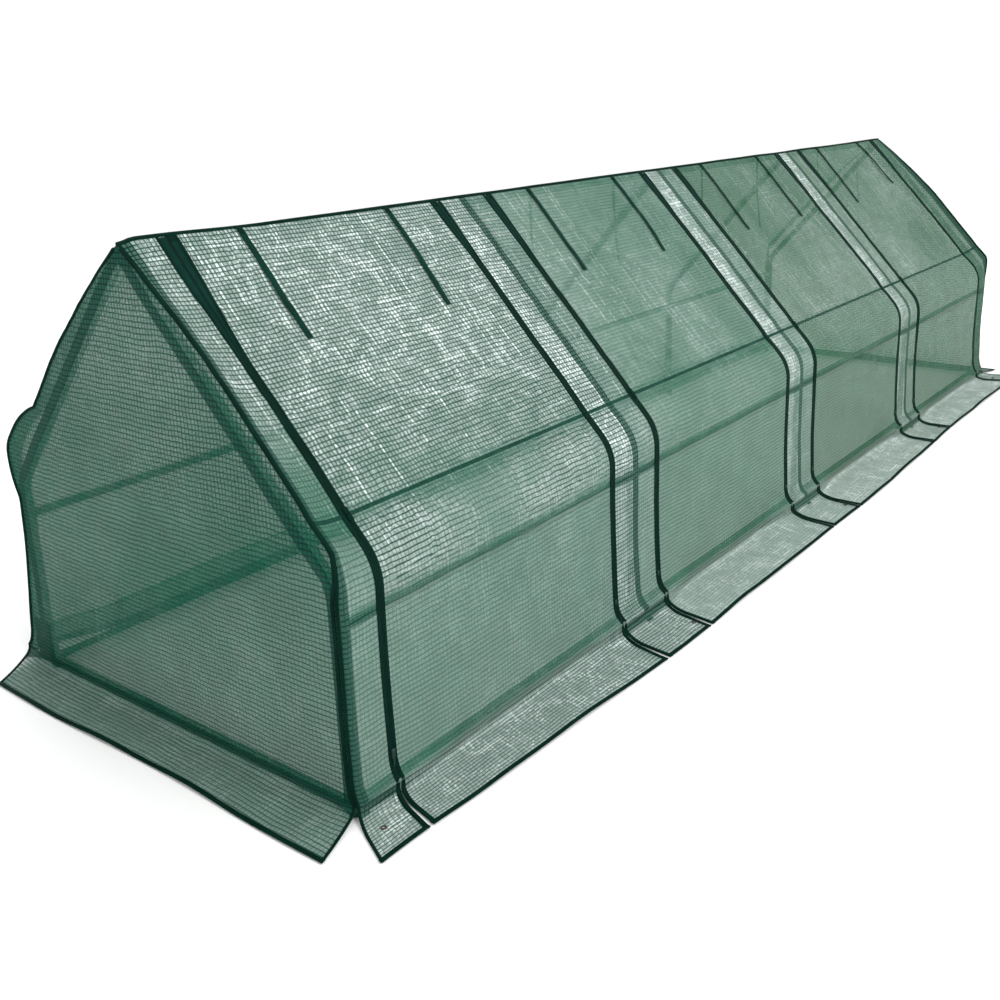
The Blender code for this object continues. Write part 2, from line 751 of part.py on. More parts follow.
def add_zip_slider(index, label, x, hinge):
    """A zip slider at the foot of the wall, which runs up to the shoulder."""
    name = f"{label}_zip_slider_{index + 1}"
    back = HALF_WIDTH + FRAME_INSET + BINDING_THICKNESS + SLIDER_GAP
    z = SKIRT_HEIGHT + SLIDER_FROM_SKIRT + SLIDER_LENGTH / 2
    place = Vector((x, -back - SLIDER_DEPTH / 2, z))
    slider = add_part(name, slider_solid(name), ZIP_PLASTIC)
    slider.parent = hinge
    slider.location = place - parent_place(hinge)
    pull = add_cutter(f"{name}_pull", pull_solid("pull"))
    pull.location = place
    apply_boolean(slider, "UNION", pull)


def add_door(index):
    """A door on its two fold lines, with its ties and its two zip sliders."""
    low, high = door_span(index)
    middle = (low + high) / 2
    ridge_y, ridge_z = slope_point(RIDGE_LAP + ZIP_GAP / 2, DOOR_OUTER + HINGE_LIFT)
    seam_y, seam_z = slope_point(SEAM_AT, DOOR_OUTER + HINGE_LIFT)
    roof_hinge = add_empty(f"roof_hinge_{index + 1}", Vector((middle, -ridge_y, ridge_z)))
    wall_hinge = add_empty(f"wall_hinge_{index + 1}", Vector((middle, -seam_y, seam_z)), roof_hinge)
    add_roof_flap(index, roof_hinge)
    add_door_ties(index, roof_hinge)
    add_wall_flap(index, wall_hinge)
    add_zip_slider(index, "left", low - ZIP_GAP / 2, wall_hinge)
    add_zip_slider(index, "right", high + ZIP_GAP / 2, wall_hinge)


# Cloth: the fixed strips over the hoops, between the doors

def strip_span(index):
    """The two side edges of a strip."""
    low = hoop_x(index) - STRIP_WIDTH / 2
    high = hoop_x(index) + STRIP_WIDTH / 2
    if index == 0:
        low = -HALF_LENGTH
        high = -HALF_LENGTH + END_STRIP_WIDTH
    if index == HOOP_COUNT - 1:
        low = HALF_LENGTH - END_STRIP_WIDTH
        high = HALF_LENGTH
    zip_low = 0 if index == 0 else ZIP_GAP / 2
    zip_high = 0 if index == HOOP_COUNT - 1 else ZIP_GAP / 2
    return low + zip_low, high - zip_high


def add_strip(index):
    """A strip of cover over one hoop, from the ridge to the hem of its skirt."""
    low, high = strip_span(index)
    side = -1
    stations = slope_stations(RIDGE_LAP + SEWN_GAP)
    rows = [slope_row(along, side) for along in stations] + wall_rows(side)
    pushes = [(0.0, 0.0, slope_looseness(along)) for along in stations]
    pushes += [(0.0, 0.0, shoulder_looseness(turn)) for turn in shoulder_turns()]
    pushes += [(0.0, 0.0, 0.0)] * (len(rows) - len(pushes))
    rows += [skirt_row(share, side) for share in SKIRT_SHARES]
    pushes += [(0.0, share, 0.0) for share in SKIRT_SHARES]
    flare = [0.0, 0.0]
    if index == 0:
        flare[0] = -CORNER_FLARE
    if index == HOOP_COUNT - 1:
        flare[1] = CORNER_FLARE
    name = f"front_strip_{index + 1}"
    side_sheet(name, low, high, STRIP_COLUMN_SHARES, rows, pushes, (0, -1, 1), flare)


# Cloth: the back panel, from the front edge of the ridge binding to the back hem

def ridge_row(turn):
    """A row of the cloth that wraps over the ridge: turn 0 is the front slope, 1 the back one."""
    angle = math.pi / 2 + SLOPE_ANGLE * (1 - 2 * turn)
    return (FRAME_INSET * math.cos(angle), RIDGE_Z + FRAME_INSET * math.sin(angle),
            math.cos(angle), math.sin(angle))


def add_back_panel():
    """The whole back of the cover: ridge binding, roof, wall and skirt in one sheet."""
    side = 1
    rows = [slope_row(RIDGE_LAP, -1)]
    rows += [ridge_row(step / RIDGE_ARC_STEPS) for step in range(RIDGE_ARC_STEPS + 1)]
    binding_rows = len(rows)
    stations = slope_stations(RIDGE_LAP)
    rows += [slope_row(along, side) for along in stations] + wall_rows(side)
    sag = [0.0] * binding_rows
    sag += [-ROOF_SAG * bump((along - RIDGE_LAP) / (SLOPE_LENGTH - RIDGE_LAP)) for along in stations]
    sag += [0.0] * (len(rows) + len(SKIRT_SHARES) - len(sag))
    loose = [0.0] * binding_rows + [slope_looseness(along) for along in stations]
    loose += [shoulder_looseness(turn) for turn in shoulder_turns()]
    loose += [0.0] * (len(sag) - len(loose))
    skirt_shares = [0.0] * len(rows) + list(SKIRT_SHARES)
    rows += [skirt_row(share, side) for share in SKIRT_SHARES]
    columns = [-HALF_LENGTH, -HALF_LENGTH + BINDING_WIDTH]
    for cell in range(1, BACK_COLUMNS_PER_BAY * DOOR_COUNT):
        columns.append(-END_HOOP_X + cell * HOOP_SPACING / BACK_COLUMNS_PER_BAY)
    columns += [HALF_LENGTH - BINDING_WIDTH, HALF_LENGTH]

    def place(column, row):
        y, z, normal_y, normal_z = rows[row]
        x = columns[column]
        bay = (x + END_HOOP_X) / HOOP_SPACING
        across = bump(bay - math.floor(bay))
        away = sag[row] * across + loose[row] * looseness_at(x)
        x += skirt_shares[row] * CORNER_FLARE * (x / HALF_LENGTH) ** CORNER_FLARE_POWER
        lift = skirt_lift(x, skirt_shares[row]) * across
        return Vector((x, y + away * normal_y, z + away * normal_z + lift))

    mesh_data = sheet_grid(columns, rows, place)
    edges = grid_edges(mesh_data, columns, rows)
    width = len(columns)
    edges += list(range(width, width * binding_rows))
    face_outward(mesh_data, (0, -1, 1))
    add_cloth("back_panel", mesh_data, edges)


# Cloth: the end panels

def end_outline():
    """Half widths and heights of the end panel's rows above its skirt, from the bottom up."""
    loosened = []
    for along in slope_stations(RIDGE_LAP):
        loosened.append((slope_row(along, 1), slope_looseness(along)))
    for turn in shoulder_turns():
        loosened.append((shoulder_row(turn, 1), shoulder_looseness(turn)))
    outline = [slope_row(0.0, 1)[:2]]
    for (y, z, normal_y, normal_z), share in loosened:
        away = share * END_LOOSENESS
        outline.append((y + away * normal_y, z + away * normal_z))
    outline += [row[:2] for row in wall_rows(1)[len(shoulder_turns()):]]
    outline.reverse()
    return outline


def add_end_panel(end, label):
    """The end wall of the cover with its own skirt."""
    outline = end_outline()
    skirt_shares = list(reversed(SKIRT_SHARES))
    rows = len(skirt_shares) + len(outline)
    columns = len(END_COLUMN_SHARES) + 4
    face_x = HALF_LENGTH + SEWN_GAP
    foot_half, foot_z = outline[0]
    top_z = outline[-1][1]

    def place(column, row):
        share = 0.0
        half = foot_half
        z = foot_z
        if row < len(skirt_shares):
            share = skirt_shares[row]
            half += END_SKIRT_FLARE * share
        else:
            half, z = outline[row - len(skirt_shares)]
        inner = max(half - BINDING_WIDTH, half * END_BINDING_LIMIT_SHARE)
        y = ([-half, -inner] + [inner * spot for spot in END_COLUMN_SHARES] + [inner, half])[column]
        across = bump((y + half) / (2 * half))
        away = END_BILLOW * across * bump((z - foot_z) / (top_z - foot_z))
        lift = 0.0
        if share > 0:
            z = skirt_z(share)
            lift = skirt_lift(y, share) * across
        return Vector((end * (face_x + share * END_SKIRT_WIDTH + away), y, z + lift))

    mesh_data = sheet_grid([0.0] * columns, [0.0] * rows, place)
    edges = grid_edges(mesh_data, [0.0] * columns, [0.0] * rows)
    face_outward(mesh_data, (end, 0, 1))
    add_cloth(f"{label}_end_panel", mesh_data, edges)


# The whole tunnel

def build():
    """Make every part of the tunnel."""
    for index in range(HOOP_COUNT):
        add_ridge_joint(index)
        for side, label in ((-1, "front"), (1, "back")):
            add_rafter(index, side, label)
            add_leg(index, side, label)
        add_strip(index)
    add_ridge_tube()
    for side, label in ((-1, "front"), (1, "back")):
        add_purlin(side, label)
        add_base_rail(side, label)
    add_end_rail(-1, "near")
    add_end_rail(1, "far")
    for index in range(DOOR_COUNT):
        add_door(index)
    add_back_panel()
    add_end_panel(-1, "near")
    add_end_panel(1, "far")


build()
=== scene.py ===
"""Looks of the row cover tunnel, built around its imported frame.

Metres, +Z up. X runs along the tunnel and -Y is the side with the four doors. The whole cover is
one surface, given by a place x along the tunnel and a distance s from the ridge over the slope,
the shoulder, the wall and the skirt. Each piece of cloth is a window onto that surface.
"""

import math

import bpy
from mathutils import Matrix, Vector, noise


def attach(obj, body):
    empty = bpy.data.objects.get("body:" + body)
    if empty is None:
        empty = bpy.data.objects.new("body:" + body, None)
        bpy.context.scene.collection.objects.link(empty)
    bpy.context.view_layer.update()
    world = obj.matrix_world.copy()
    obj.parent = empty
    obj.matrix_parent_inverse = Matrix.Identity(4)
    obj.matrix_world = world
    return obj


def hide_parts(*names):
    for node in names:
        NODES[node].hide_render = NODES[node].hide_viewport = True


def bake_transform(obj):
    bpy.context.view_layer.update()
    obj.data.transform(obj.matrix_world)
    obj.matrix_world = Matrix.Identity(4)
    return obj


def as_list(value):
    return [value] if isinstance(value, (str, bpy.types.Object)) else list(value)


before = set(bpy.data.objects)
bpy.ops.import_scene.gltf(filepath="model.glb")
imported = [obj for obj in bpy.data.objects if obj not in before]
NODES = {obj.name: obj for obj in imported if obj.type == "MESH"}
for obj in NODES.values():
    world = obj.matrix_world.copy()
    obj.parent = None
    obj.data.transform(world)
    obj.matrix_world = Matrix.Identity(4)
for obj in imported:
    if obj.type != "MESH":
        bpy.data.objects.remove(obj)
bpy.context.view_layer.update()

# Sizes of the frame and the cover, as in the part's source. INSET is from a tube's middle to the cover.
HALF_LENGTH = 1.800
HOOP_COUNT = 5
DOOR_COUNT = 4
INSET = 0.01065
HALF_WIDTH = 0.46335
END_HOOP_X = HALF_LENGTH - INSET
SPACING = 2 * END_HOOP_X / DOOR_COUNT
RIDGE_Z = 0.93695
SHOULDER_Z = 0.396
SHOULDER_RADIUS = 0.090
PURLIN_HEIGHT = 0.358
RAIL_HEIGHT = 0.022
TUBE_RADIUS = 0.008
RIDGE_LAP = 0.009
ZIP_GAP = 0.0006
STRIP_WIDTH = 0.186
END_STRIP_WIDTH = 0.095
SKIRT_WIDTH = 0.155
END_SKIRT_WIDTH = 0.110

# How far the skirts' corners spread, and the cloth stands off its plain shape
CORNER_FLARE = 0.065
END_FLARE = 0.034
NEAR_END_FLARE = (0.037, -0.057)
LOOSENESS = 0.034
ROOF_SAG = 0.007
WALL_BILLOW = 0.006
FAR_BULGE = 0.010
END_BILLOW = 0.008
CORNER_POKE = 0.031
LEAN = 0.008
NEAR_BACK_LEAN = 0.044
JOINT_RISE = 0.0055

# Trims: widths, heights and radii
BINDING = 0.0098
EDGE_BINDING = 0.0062
BINDING_RISE = 0.0024
PIPING_RADIUS = 0.0042
ROPE_RADIUS = 0.0026
# The seam is wide and its tape half clear, so it is a real seam that also carries painted shade of the fold.
SEAM_WIDTH = 0.0080
ZIP_TAPE_WIDTH = 0.0024
COIL = 0.0019

# The film's distance from the cover's inner face, and the pitches of strands, ribs, stitches and teeth
FILM_OFF = 0.0006
STRAND_PITCH = (0.0090, 0.0096)
RIB_PITCH = 0.0024
STITCH_PITCH = 0.0042
COIL_PITCH = 0.0021

# Painted shade: dark bands where the film lies on a tube, standing for the tube and its shade seen through the film,
# and a patch of it at the ends' back corners
PAINTED_TUBE_SHADE = 0.92
BAND_REACH = 0.0115
BAND_SOFT = 0.0040
HOOP_BAND_FROM = 0.010
LEG_BAND_FROM = 0.014
CORNER_PATCH_Y = HALF_WIDTH + 0.008
CORNER_PATCH_REACH = 0.034
CORNER_PATCH_TOP = 0.115

# The film's colours beside each sheet's own: the white of its painted sheen, its strands, and the painted shade
# where it lies on a tube; and how far its strands wander
PAINTED_SHEEN_WHITE = (0.640, 0.740, 0.710, 1.0)
STRAND_COLOUR = (0.0070, 0.0430, 0.0290, 1.0)
PAINTED_TUBE_SHADE_COLOUR = (0.0030, 0.0230, 0.0190, 1.0)
STRAND_DRIFT = 0.010

# Ties: place from the door's edge, widths, lengths and heights
TIE_INSET = 0.160
TIE_WIDTH = 0.015
TIE_LENGTH = 0.235
CRUMPLED_TIE_LENGTH = 0.190
INNER_TIE_LENGTH = 0.225
TIE_RISE = (0.0026, 0.0036)

# Steps between a piece's places: along the tunnel, down the cover, and over the ridge
ALONG_STEP = 0.012
DOWN_STEP = 0.010
RIDGE_STEP = 0.003

# Outward on the front
FRONT = (0, -1, 0.6)

# The cover's section: the slope's angle, and distances from the ridge
CENTRE_Y = HALF_WIDTH - SHOULDER_RADIUS
REACH = math.hypot(CENTRE_Y, RIDGE_Z - SHOULDER_Z)
SLOPE = math.atan2(RIDGE_Z - SHOULDER_Z, CENTRE_Y) - math.asin(SHOULDER_RADIUS / REACH)
SLOPE_LENGTH = math.sqrt(REACH ** 2 - SHOULDER_RADIUS ** 2)
SEAM_AT = SLOPE_LENGTH - 0.060
BEND_RADIUS = SHOULDER_RADIUS + INSET
BEND_LENGTH = BEND_RADIUS * (math.pi / 2 - SLOPE)
WALL_FROM = SLOPE_LENGTH + BEND_LENGTH
RIDGE_ARC = 2 * SLOPE * INSET
CREST = -RIDGE_ARC / 2

# The skirt's own line, turned from the wall to the ground
SKIRT_TURN = 0.022
SKIRT_STEP = 0.0025
SKIRT_CLEAR = 0.0014

# The soft turn from wall to skirt: its size, and its reach up the wall and out over the skirt
SWEEP = 0.0225
SWEEP_UP = 0.066
SWEEP_DOWN = 0.090


def skirt_line():
    """Distances, outward places and heights of the skirt, from the wall to the hem."""
    line = [(0.0, 0.0, 0.0, math.pi / 2)]
    at = out = drop = 0.0
    while out < SKIRT_WIDTH:
        turn = max(0.0, 1 - at / SKIRT_TURN)
        angle = math.pi / 2 * turn ** 1.25
        at += SKIRT_STEP
        out += SKIRT_STEP * math.cos(angle)
        drop += SKIRT_STEP * math.sin(angle)
        line.append((at, out, drop, angle))
    depth = line[-1][2]
    return [(at, out, SKIRT_CLEAR + depth - drop, angle) for at, out, drop, angle in line]


SKIRT_LINE = skirt_line()
SKIRT_TOP = SKIRT_LINE[0][2]
SKIRT_FROM = WALL_FROM + SHOULDER_Z - SKIRT_TOP
HEM_AT = SKIRT_FROM + SKIRT_LINE[-1][0]
END_HEM_AT = SKIRT_FROM + next(row[0] for row in SKIRT_LINE if row[1] >= END_SKIRT_WIDTH)


def section(s):
    """Inner face of the cover at a distance from the ridge: y, z, normal and skirt width there."""
    if s <= SLOPE_LENGTH:
        y = s * math.cos(SLOPE) + INSET * math.sin(SLOPE)
        z = RIDGE_Z - s * math.sin(SLOPE) + INSET * math.cos(SLOPE)
        return y, z, math.sin(SLOPE), math.cos(SLOPE), 0.0
    if s <= WALL_FROM:
        angle = (math.pi / 2 - SLOPE) * (1 - (s - SLOPE_LENGTH) / BEND_LENGTH)
        y = CENTRE_Y + BEND_RADIUS * math.cos(angle)
        return y, SHOULDER_Z + BEND_RADIUS * math.sin(angle), math.cos(angle), math.sin(angle), 0.0
    if s <= SKIRT_FROM:
        return HALF_WIDTH + INSET, SHOULDER_Z - (s - WALL_FROM), 1.0, 0.0, 0.0
    at = min((s - SKIRT_FROM) / SKIRT_STEP, len(SKIRT_LINE) - 1.001)
    step = int(at)
    share = at - step
    low = SKIRT_LINE[step]
    high = SKIRT_LINE[step + 1]
    out, z, angle = (low[k] + share * (high[k] - low[k]) for k in (1, 2, 3))
    return HALF_WIDTH + INSET + out, z, math.sin(angle), math.cos(angle), out


def bump(share):
    """0 at both ends of a span and 1 in its middle."""
    return math.sin(math.pi * min(max(share, 0.0), 1.0))


def fade(value, low, high):
    """0 below low, 1 above high and smooth between."""
    share = min(max((value - low) / (high - low), 0.0), 1.0)
    return share * share * (3 - 2 * share)


def rough(x, s, scale_x, scale_s, seed):
    """Smooth noise over the cloth, from -1 to 1."""
    return noise.noise(Vector((x * scale_x, s * scale_s, seed)))


def hoop_x(index):
    """Place of a hoop along the tunnel."""
    return -END_HOOP_X + index * SPACING


def door_span(index):
    """The two side edges of a door."""
    low = hoop_x(index) + STRIP_WIDTH / 2
    high = hoop_x(index + 1) - STRIP_WIDTH / 2
    if index == 0:
        low = -HALF_LENGTH + END_STRIP_WIDTH
    if index == DOOR_COUNT - 1:
        high = HALF_LENGTH - END_STRIP_WIDTH
    return low + ZIP_GAP / 2, high - ZIP_GAP / 2


def strip_span(index):
    """The two side edges of a fixed strip."""
    low = -HALF_LENGTH if index == 0 else door_span(index - 1)[1] + ZIP_GAP
    high = HALF_LENGTH if index == DOOR_COUNT else door_span(index)[0] - ZIP_GAP
    return low, high


def bay_share(x, side):
    """Where x lies in its door on the front, or between two hoops on the back, from 0 to 1."""
    if side > 0:
        bay = (x + END_HOOP_X) / SPACING
        return bay - math.floor(bay)
    for index in range(DOOR_COUNT):
        low, high = door_span(index)
        if low < x < high:
            return (x - low) / (high - low)
    return 0.0


def looseness(x, s):
    """How far the cover stands off the frame near its ends."""
    share = max(0.0, 1 - (HALF_LENGTH - abs(x)) / END_STRIP_WIDTH)
    if s <= SLOPE_LENGTH:
        loose = math.sin(math.pi / 2 * min(s / (0.55 * SLOPE_LENGTH), 1.0))
    else:
        loose = max(0.0, 1 - (s - SLOPE_LENGTH) / BEND_LENGTH) ** 2
    return LOOSENESS * share ** 2 * loose


def corner_poke(x, s, side):
    """The near back shoulder, which the cover's corner pulls outward."""
    if side < 0:
        return 0.0
    share = max(0.0, 1 - (HALF_LENGTH + x) / 0.14)
    return CORNER_POKE * share ** 1.5 * bump((s - 0.485) / 0.235) ** 0.8


def foot_lean(x, s, side):
    """How far the wall leans out towards the ground."""
    low = fade(s, WALL_FROM + 0.10, SKIRT_FROM) ** 2
    near = fade(-x, 1.55, 1.80)
    if side < 0:
        return LEAN * low * (1 - near)
    return LEAN * low + NEAR_BACK_LEAN * near * fade(s, WALL_FROM, SKIRT_FROM)


def sweep(x, s, side):
    """How far the turn from wall to skirt stands off its corner, outward and upward alike."""
    off = abs(s - SKIRT_FROM) / (SWEEP_DOWN if s > SKIRT_FROM else SWEEP_UP)
    end = fade(abs(x), 1.60, 1.80)
    if side < 0:
        turns = (x + END_HOOP_X) / SPACING
        from_hoop = abs(turns - round(turns)) * SPACING
        share = 0.22 + 0.78 * (1 - fade(from_hoop, 0.085, 0.26))
        share *= 1 - 0.45 * end
    else:
        share = 0.25 + (0.60 if x < 0 else 0.15) * end
    return share * SWEEP * (1 - off) ** 2 if off < 1 else 0.0


def corner_turn(x, s, side):
    """How far the wall has turned round the end hoop's tube, as an angle."""
    past = (abs(x) - END_HOOP_X) / INSET
    if past <= 0 or side > 0 and x < 0:
        return 0.0
    on_wall = fade(s, SLOPE_LENGTH, WALL_FROM) * (1 - fade(s, SKIRT_FROM, SKIRT_FROM + 0.03))
    return math.asin(min(past, 1.0)) * on_wall


def crest_rise(x):
    """How far the cover stands up over the near end's ridge joint."""
    return JOINT_RISE * fade(x, -HALF_LENGTH, -1.765) * (1 - fade(x, -1.72, -1.45))


def slack(x, s, side):
    """Sag of the roof, billow of the wall and the small unevenness of the film."""
    across = bump(bay_share(x, side))
    away = FAR_BULGE * fade(x, -0.4, 0.5) * across ** 0.5 * bump((s - SEAM_AT) / 0.25) if side < 0 else 0.0
    last = SEAM_AT if side < 0 else SLOPE_LENGTH
    away -= ROOF_SAG * across * bump((s - RIDGE_LAP) / (last - RIDGE_LAP))
    away += WALL_BILLOW * across * bump((s - WALL_FROM) / (SKIRT_FROM - WALL_FROM))
    calm = fade(s, RIDGE_LAP, 0.10) * fade(abs(s - SEAM_AT), 0.004, 0.035)
    calm *= 1 - fade(s, SKIRT_FROM - 0.02, SKIRT_FROM + 0.04)
    if side < 0 and s > SEAM_AT:
        from_zip = min(abs(x - edge) for index in range(DOOR_COUNT) for edge in door_span(index))
        calm *= 1 - 0.75 * fade(s, SEAM_AT, WALL_FROM) * (1 - fade(from_zip, 0.008, 0.045))
    uneven = 0.0024 * rough(x, s, 3.3, 4.6, side * 3.0) + 0.0011 * rough(x, s, 11.0, 15.0, side * 7.0)
    uneven += 0.0007 * rough(x, s, 9.0, 55.0, side * 11.0)
    return away + calm * max(-0.0004, 0.0016 + uneven)


def cover_point(x, s, side, lift=0.0):
    """A point of the cover and its outward normal. lift moves it outward from the film's face."""
    y, z, normal_y, normal_z, out = section(s)
    away = lift + looseness(x, s) + slack(x, s, side) + corner_poke(x, s, side)
    turn = corner_turn(x, s, side)
    swept = sweep(x, s, side)
    y += away * normal_y + foot_lean(x, min(s, SKIRT_FROM), side) - INSET * (1 - math.cos(turn)) + swept
    z += away * normal_z + crest_rise(x) * (1 - fade(s, 0.0, 0.09)) + swept
    place = x + 0.0022 * rough(x, s, 5.0, 7.0, side * 17.0) * fade(s, 0.0, 0.12) * fade(
        HALF_LENGTH - abs(x), 0.0, 0.05)
    if out > 0:
        share = out / SKIRT_WIDTH
        if side < 0:
            y -= out * (0.25 * fade(-x, 0.75, 1.80) + 0.13 * fade(x, 0.2, 1.1))
            place += CORNER_FLARE * share * max(0.0, x / HALF_LENGTH) ** 7
            place -= share * (0.0135 * (1.0 - x) + 0.022 * fade(-x, 1.70, 1.80)) * (x < 1.0)
        else:
            y -= out * 0.13 * fade(-x, 1.45, 1.80)
            place += share * (0.120 * fade(-x, 1.45, 1.80) + CORNER_FLARE * max(0.0, x / HALF_LENGTH) ** 7)
        wave = 0.5 + 0.5 * math.sin(15.0 * x + side) * math.cos(6.3 * x + 2.0 * side)
        z += 0.0055 * share * wave * bump(bay_share(x, side)) + 0.0012 * share * (
            1 + rough(x, s, 9.0, 9.0, side * 5.0))
        y += 0.007 * share * rough(x, 0.0, 2.3, 1.0, side * 23.0)
    normal = Vector((0.0, side * normal_y, normal_z))
    if turn > 0:
        normal = (normal * math.cos(turn) + Vector((math.copysign(math.sin(turn), x), 0.0, 0.0))).normalized()
    return Vector((place, side * y, z)), normal


def over_point(x, t, lift=0.0):
    """A point of the back sheet: down the back where t is positive, over the ridge where it isn't."""
    if t >= 0:
        return cover_point(x, t, 1, lift)
    if t <= -RIDGE_ARC:
        return cover_point(x, -t - RIDGE_ARC, -1, lift)
    angle = math.pi / 2 - SLOPE - t / INSET
    normal = Vector((0.0, math.cos(angle), math.sin(angle)))
    return Vector((x, 0.0, RIDGE_Z + crest_rise(x))) + normal * (INSET + lift), normal


def end_point(across, s, end, lift=0.0):
    """A point of an end panel, from -1 at its front edge to 1 at its back edge."""
    front, _ = cover_point(end * HALF_LENGTH, min(s, SKIRT_FROM), -1)
    back, _ = cover_point(end * HALF_LENGTH, min(s, SKIRT_FROM), 1)
    share = (across + 1) / 2
    place = front.lerp(back, share)
    swept = [sweep(end * HALF_LENGTH, min(s, SKIRT_FROM), side) for side in (-1, 1)]
    front_part = (max(0.0, 1 - share / 0.10) ** 2 - 1 + share) * swept[0]
    back_part = (max(0.0, 1 - (1 - share) / 0.10) ** 2 - share) * swept[1]
    place.y += back_part - front_part
    place.z += back_part + front_part
    place.x = end * HALF_LENGTH
    normal = Vector((end, 0.0, 0.0))
    away = 0.0005 + lift
    if s > SKIRT_FROM:
        _, z, normal_y, normal_z, out = section(s)
        part = out / END_SKIRT_WIDTH
        flare = END_FLARE if end > 0 else NEAR_END_FLARE[across > 0]
        place.y += across * flare * part
        wave = 0.5 + 0.5 * math.sin(21.0 * place.y + end)
        raised = place.z - SKIRT_TOP
        place.z = z + raised * (1 - min(part, 1.0)) ** 2 + 0.004 * part * wave * bump(share) + 0.0012 * part
        place.x = end * (HALF_LENGTH + out + away * normal_y + 0.004 * part * math.sin(9.0 * place.y + end))
        place.z += away * normal_z
        return place, Vector((end * normal_y, 0.0, normal_z))
    tall = s / SKIRT_FROM
    billow = END_BILLOW * bump(share) * bump(1 - tall)
    edge = fade(1 - abs(across), 0.0, 0.12) * fade(tall, 0.0, 0.12) * (1 - fade(tall, 0.97, 1.0))
    uneven = 0.0030 * rough(place.y, s, 4.0, 5.0, end * 29.0)
    uneven += 0.0010 * rough(place.y, s, 14.0, 12.0, end * 31.0)
    crease = 0.0016 * math.sin(150.0 * place.y + 9.0 * s) * fade(s, SKIRT_FROM - 0.26, SKIRT_FROM - 0.03)
    away += billow + edge * max(-0.0004, 0.0018 + uneven + (crease if end > 0 else 0.4 * crease))
    place.x = end * (HALF_LENGTH + away)
    return place, normal


def painted_sheen_at(x, s, side):
    """How much painted sheen the film has, from 0 to 1: painted light that makes it whitish where it catches the
    light, set by place.
    """
    patch = 0.5 + 0.9 * rough(x, s, 4.0, 3.0, side * 37.0) + 0.35 * rough(x, s, 13.0, 5.0, side * 41.0)
    patch = min(max(patch, 0.0), 1.0)
    near = 1 - 0.85 * fade(x, -1.0, -0.62) - 0.15 * fade(x, -0.62, 0.2)
    skirt = fade(s, SKIRT_FROM - 0.004, SKIRT_FROM + 0.012)
    if side > 0:
        # The back's painted sheen: more near the foot of its wall, and most on its skirt towards the near end.
        low = fade(s, SKIRT_FROM - 0.13, SKIRT_FROM - 0.01) * (1 - skirt)
        return 0.25 * patch + 0.22 * low + (0.9 + 0.9 * fade(-x, 0.2, 1.2)) * skirt
    shoulder = fade(s, SEAM_AT, SEAM_AT + 0.02) * (1 - fade(s, WALL_FROM - 0.03, WALL_FROM + 0.05))
    roof = 1 - fade(s, SEAM_AT - 0.01, SEAM_AT + 0.01)
    wall = 1 - skirt - shoulder - roof
    # The front's painted light by place: on the strips' lit halves, and on the near roofs, shoulders and skirts.
    for index in range(HOOP_COUNT):
        low, high = strip_span(index)
        if low <= x <= high:
            lit = 1.35 - 0.85 * fade((x - low) / (high - low), 0.46, 0.60) if 0 < index < DOOR_COUNT else 0.45
            if index == 0:
                lit = 0.90 * (1 - fade(s, 0.30, 0.54)) + 0.30 * fade(s, SEAM_AT, WALL_FROM)
            far = 1 - 0.6 * fade(x, 0.3, 1.6)
            return far * (lit * (0.95 * roof + 0.85 * shoulder + 0.50 * max(wall, 0.0)) + 0.95 * skirt)
    mid = 0.92 + 0.20 * patch
    roof_light = near * mid * (1 - 0.35 * fade(s, 0.40, 0.56)) + (1 - near) * 0.30 * patch
    skirt_light = 0.95 * near + (1 - near)
    shoulder_light = (0.25 + 0.75 * patch) * (0.85 * near + 0.10 * (1 - near))
    return roof * roof_light + skirt * skirt_light + shoulder * shoulder_light + max(wall, 0.0) * (
        0.16 * near * patch + 0.05)


# Mesh helpers

def spread(low, high, step):
    """Even places from low to high, about a step apart."""
    count = max(1, round((high - low) / step))
    return [low + (high - low) * index / count for index in range(count + 1)]


def make_mesh(name, verts, faces, places):
    """A mesh with the cloth's own coordinates and its painted sheen at its corners."""
    mesh = bpy.data.meshes.new(name)
    mesh.from_pydata([tuple(vert) for vert in verts], [], faces)
    layer = mesh.attributes.new("cloth_place", "FLOAT_VECTOR", "POINT")
    layer.data.foreach_set("vector", [value for place in places for value in place])
    mesh.update()
    return mesh


def new_object(name, data):
    """A new object in the scene."""
    item = bpy.data.objects.new(name, data)
    bpy.context.scene.collection.objects.link(item)
    return item


def add_object(name, mesh, material, body, replaced):
    """Add a piece, give it its material, and let it ride on its body."""
    piece = new_object(name, mesh)
    mesh.materials.append(material)
    mesh.shade_smooth()
    if body is not None:
        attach(piece, body)
    if replaced:
        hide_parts(*replaced)
    return piece


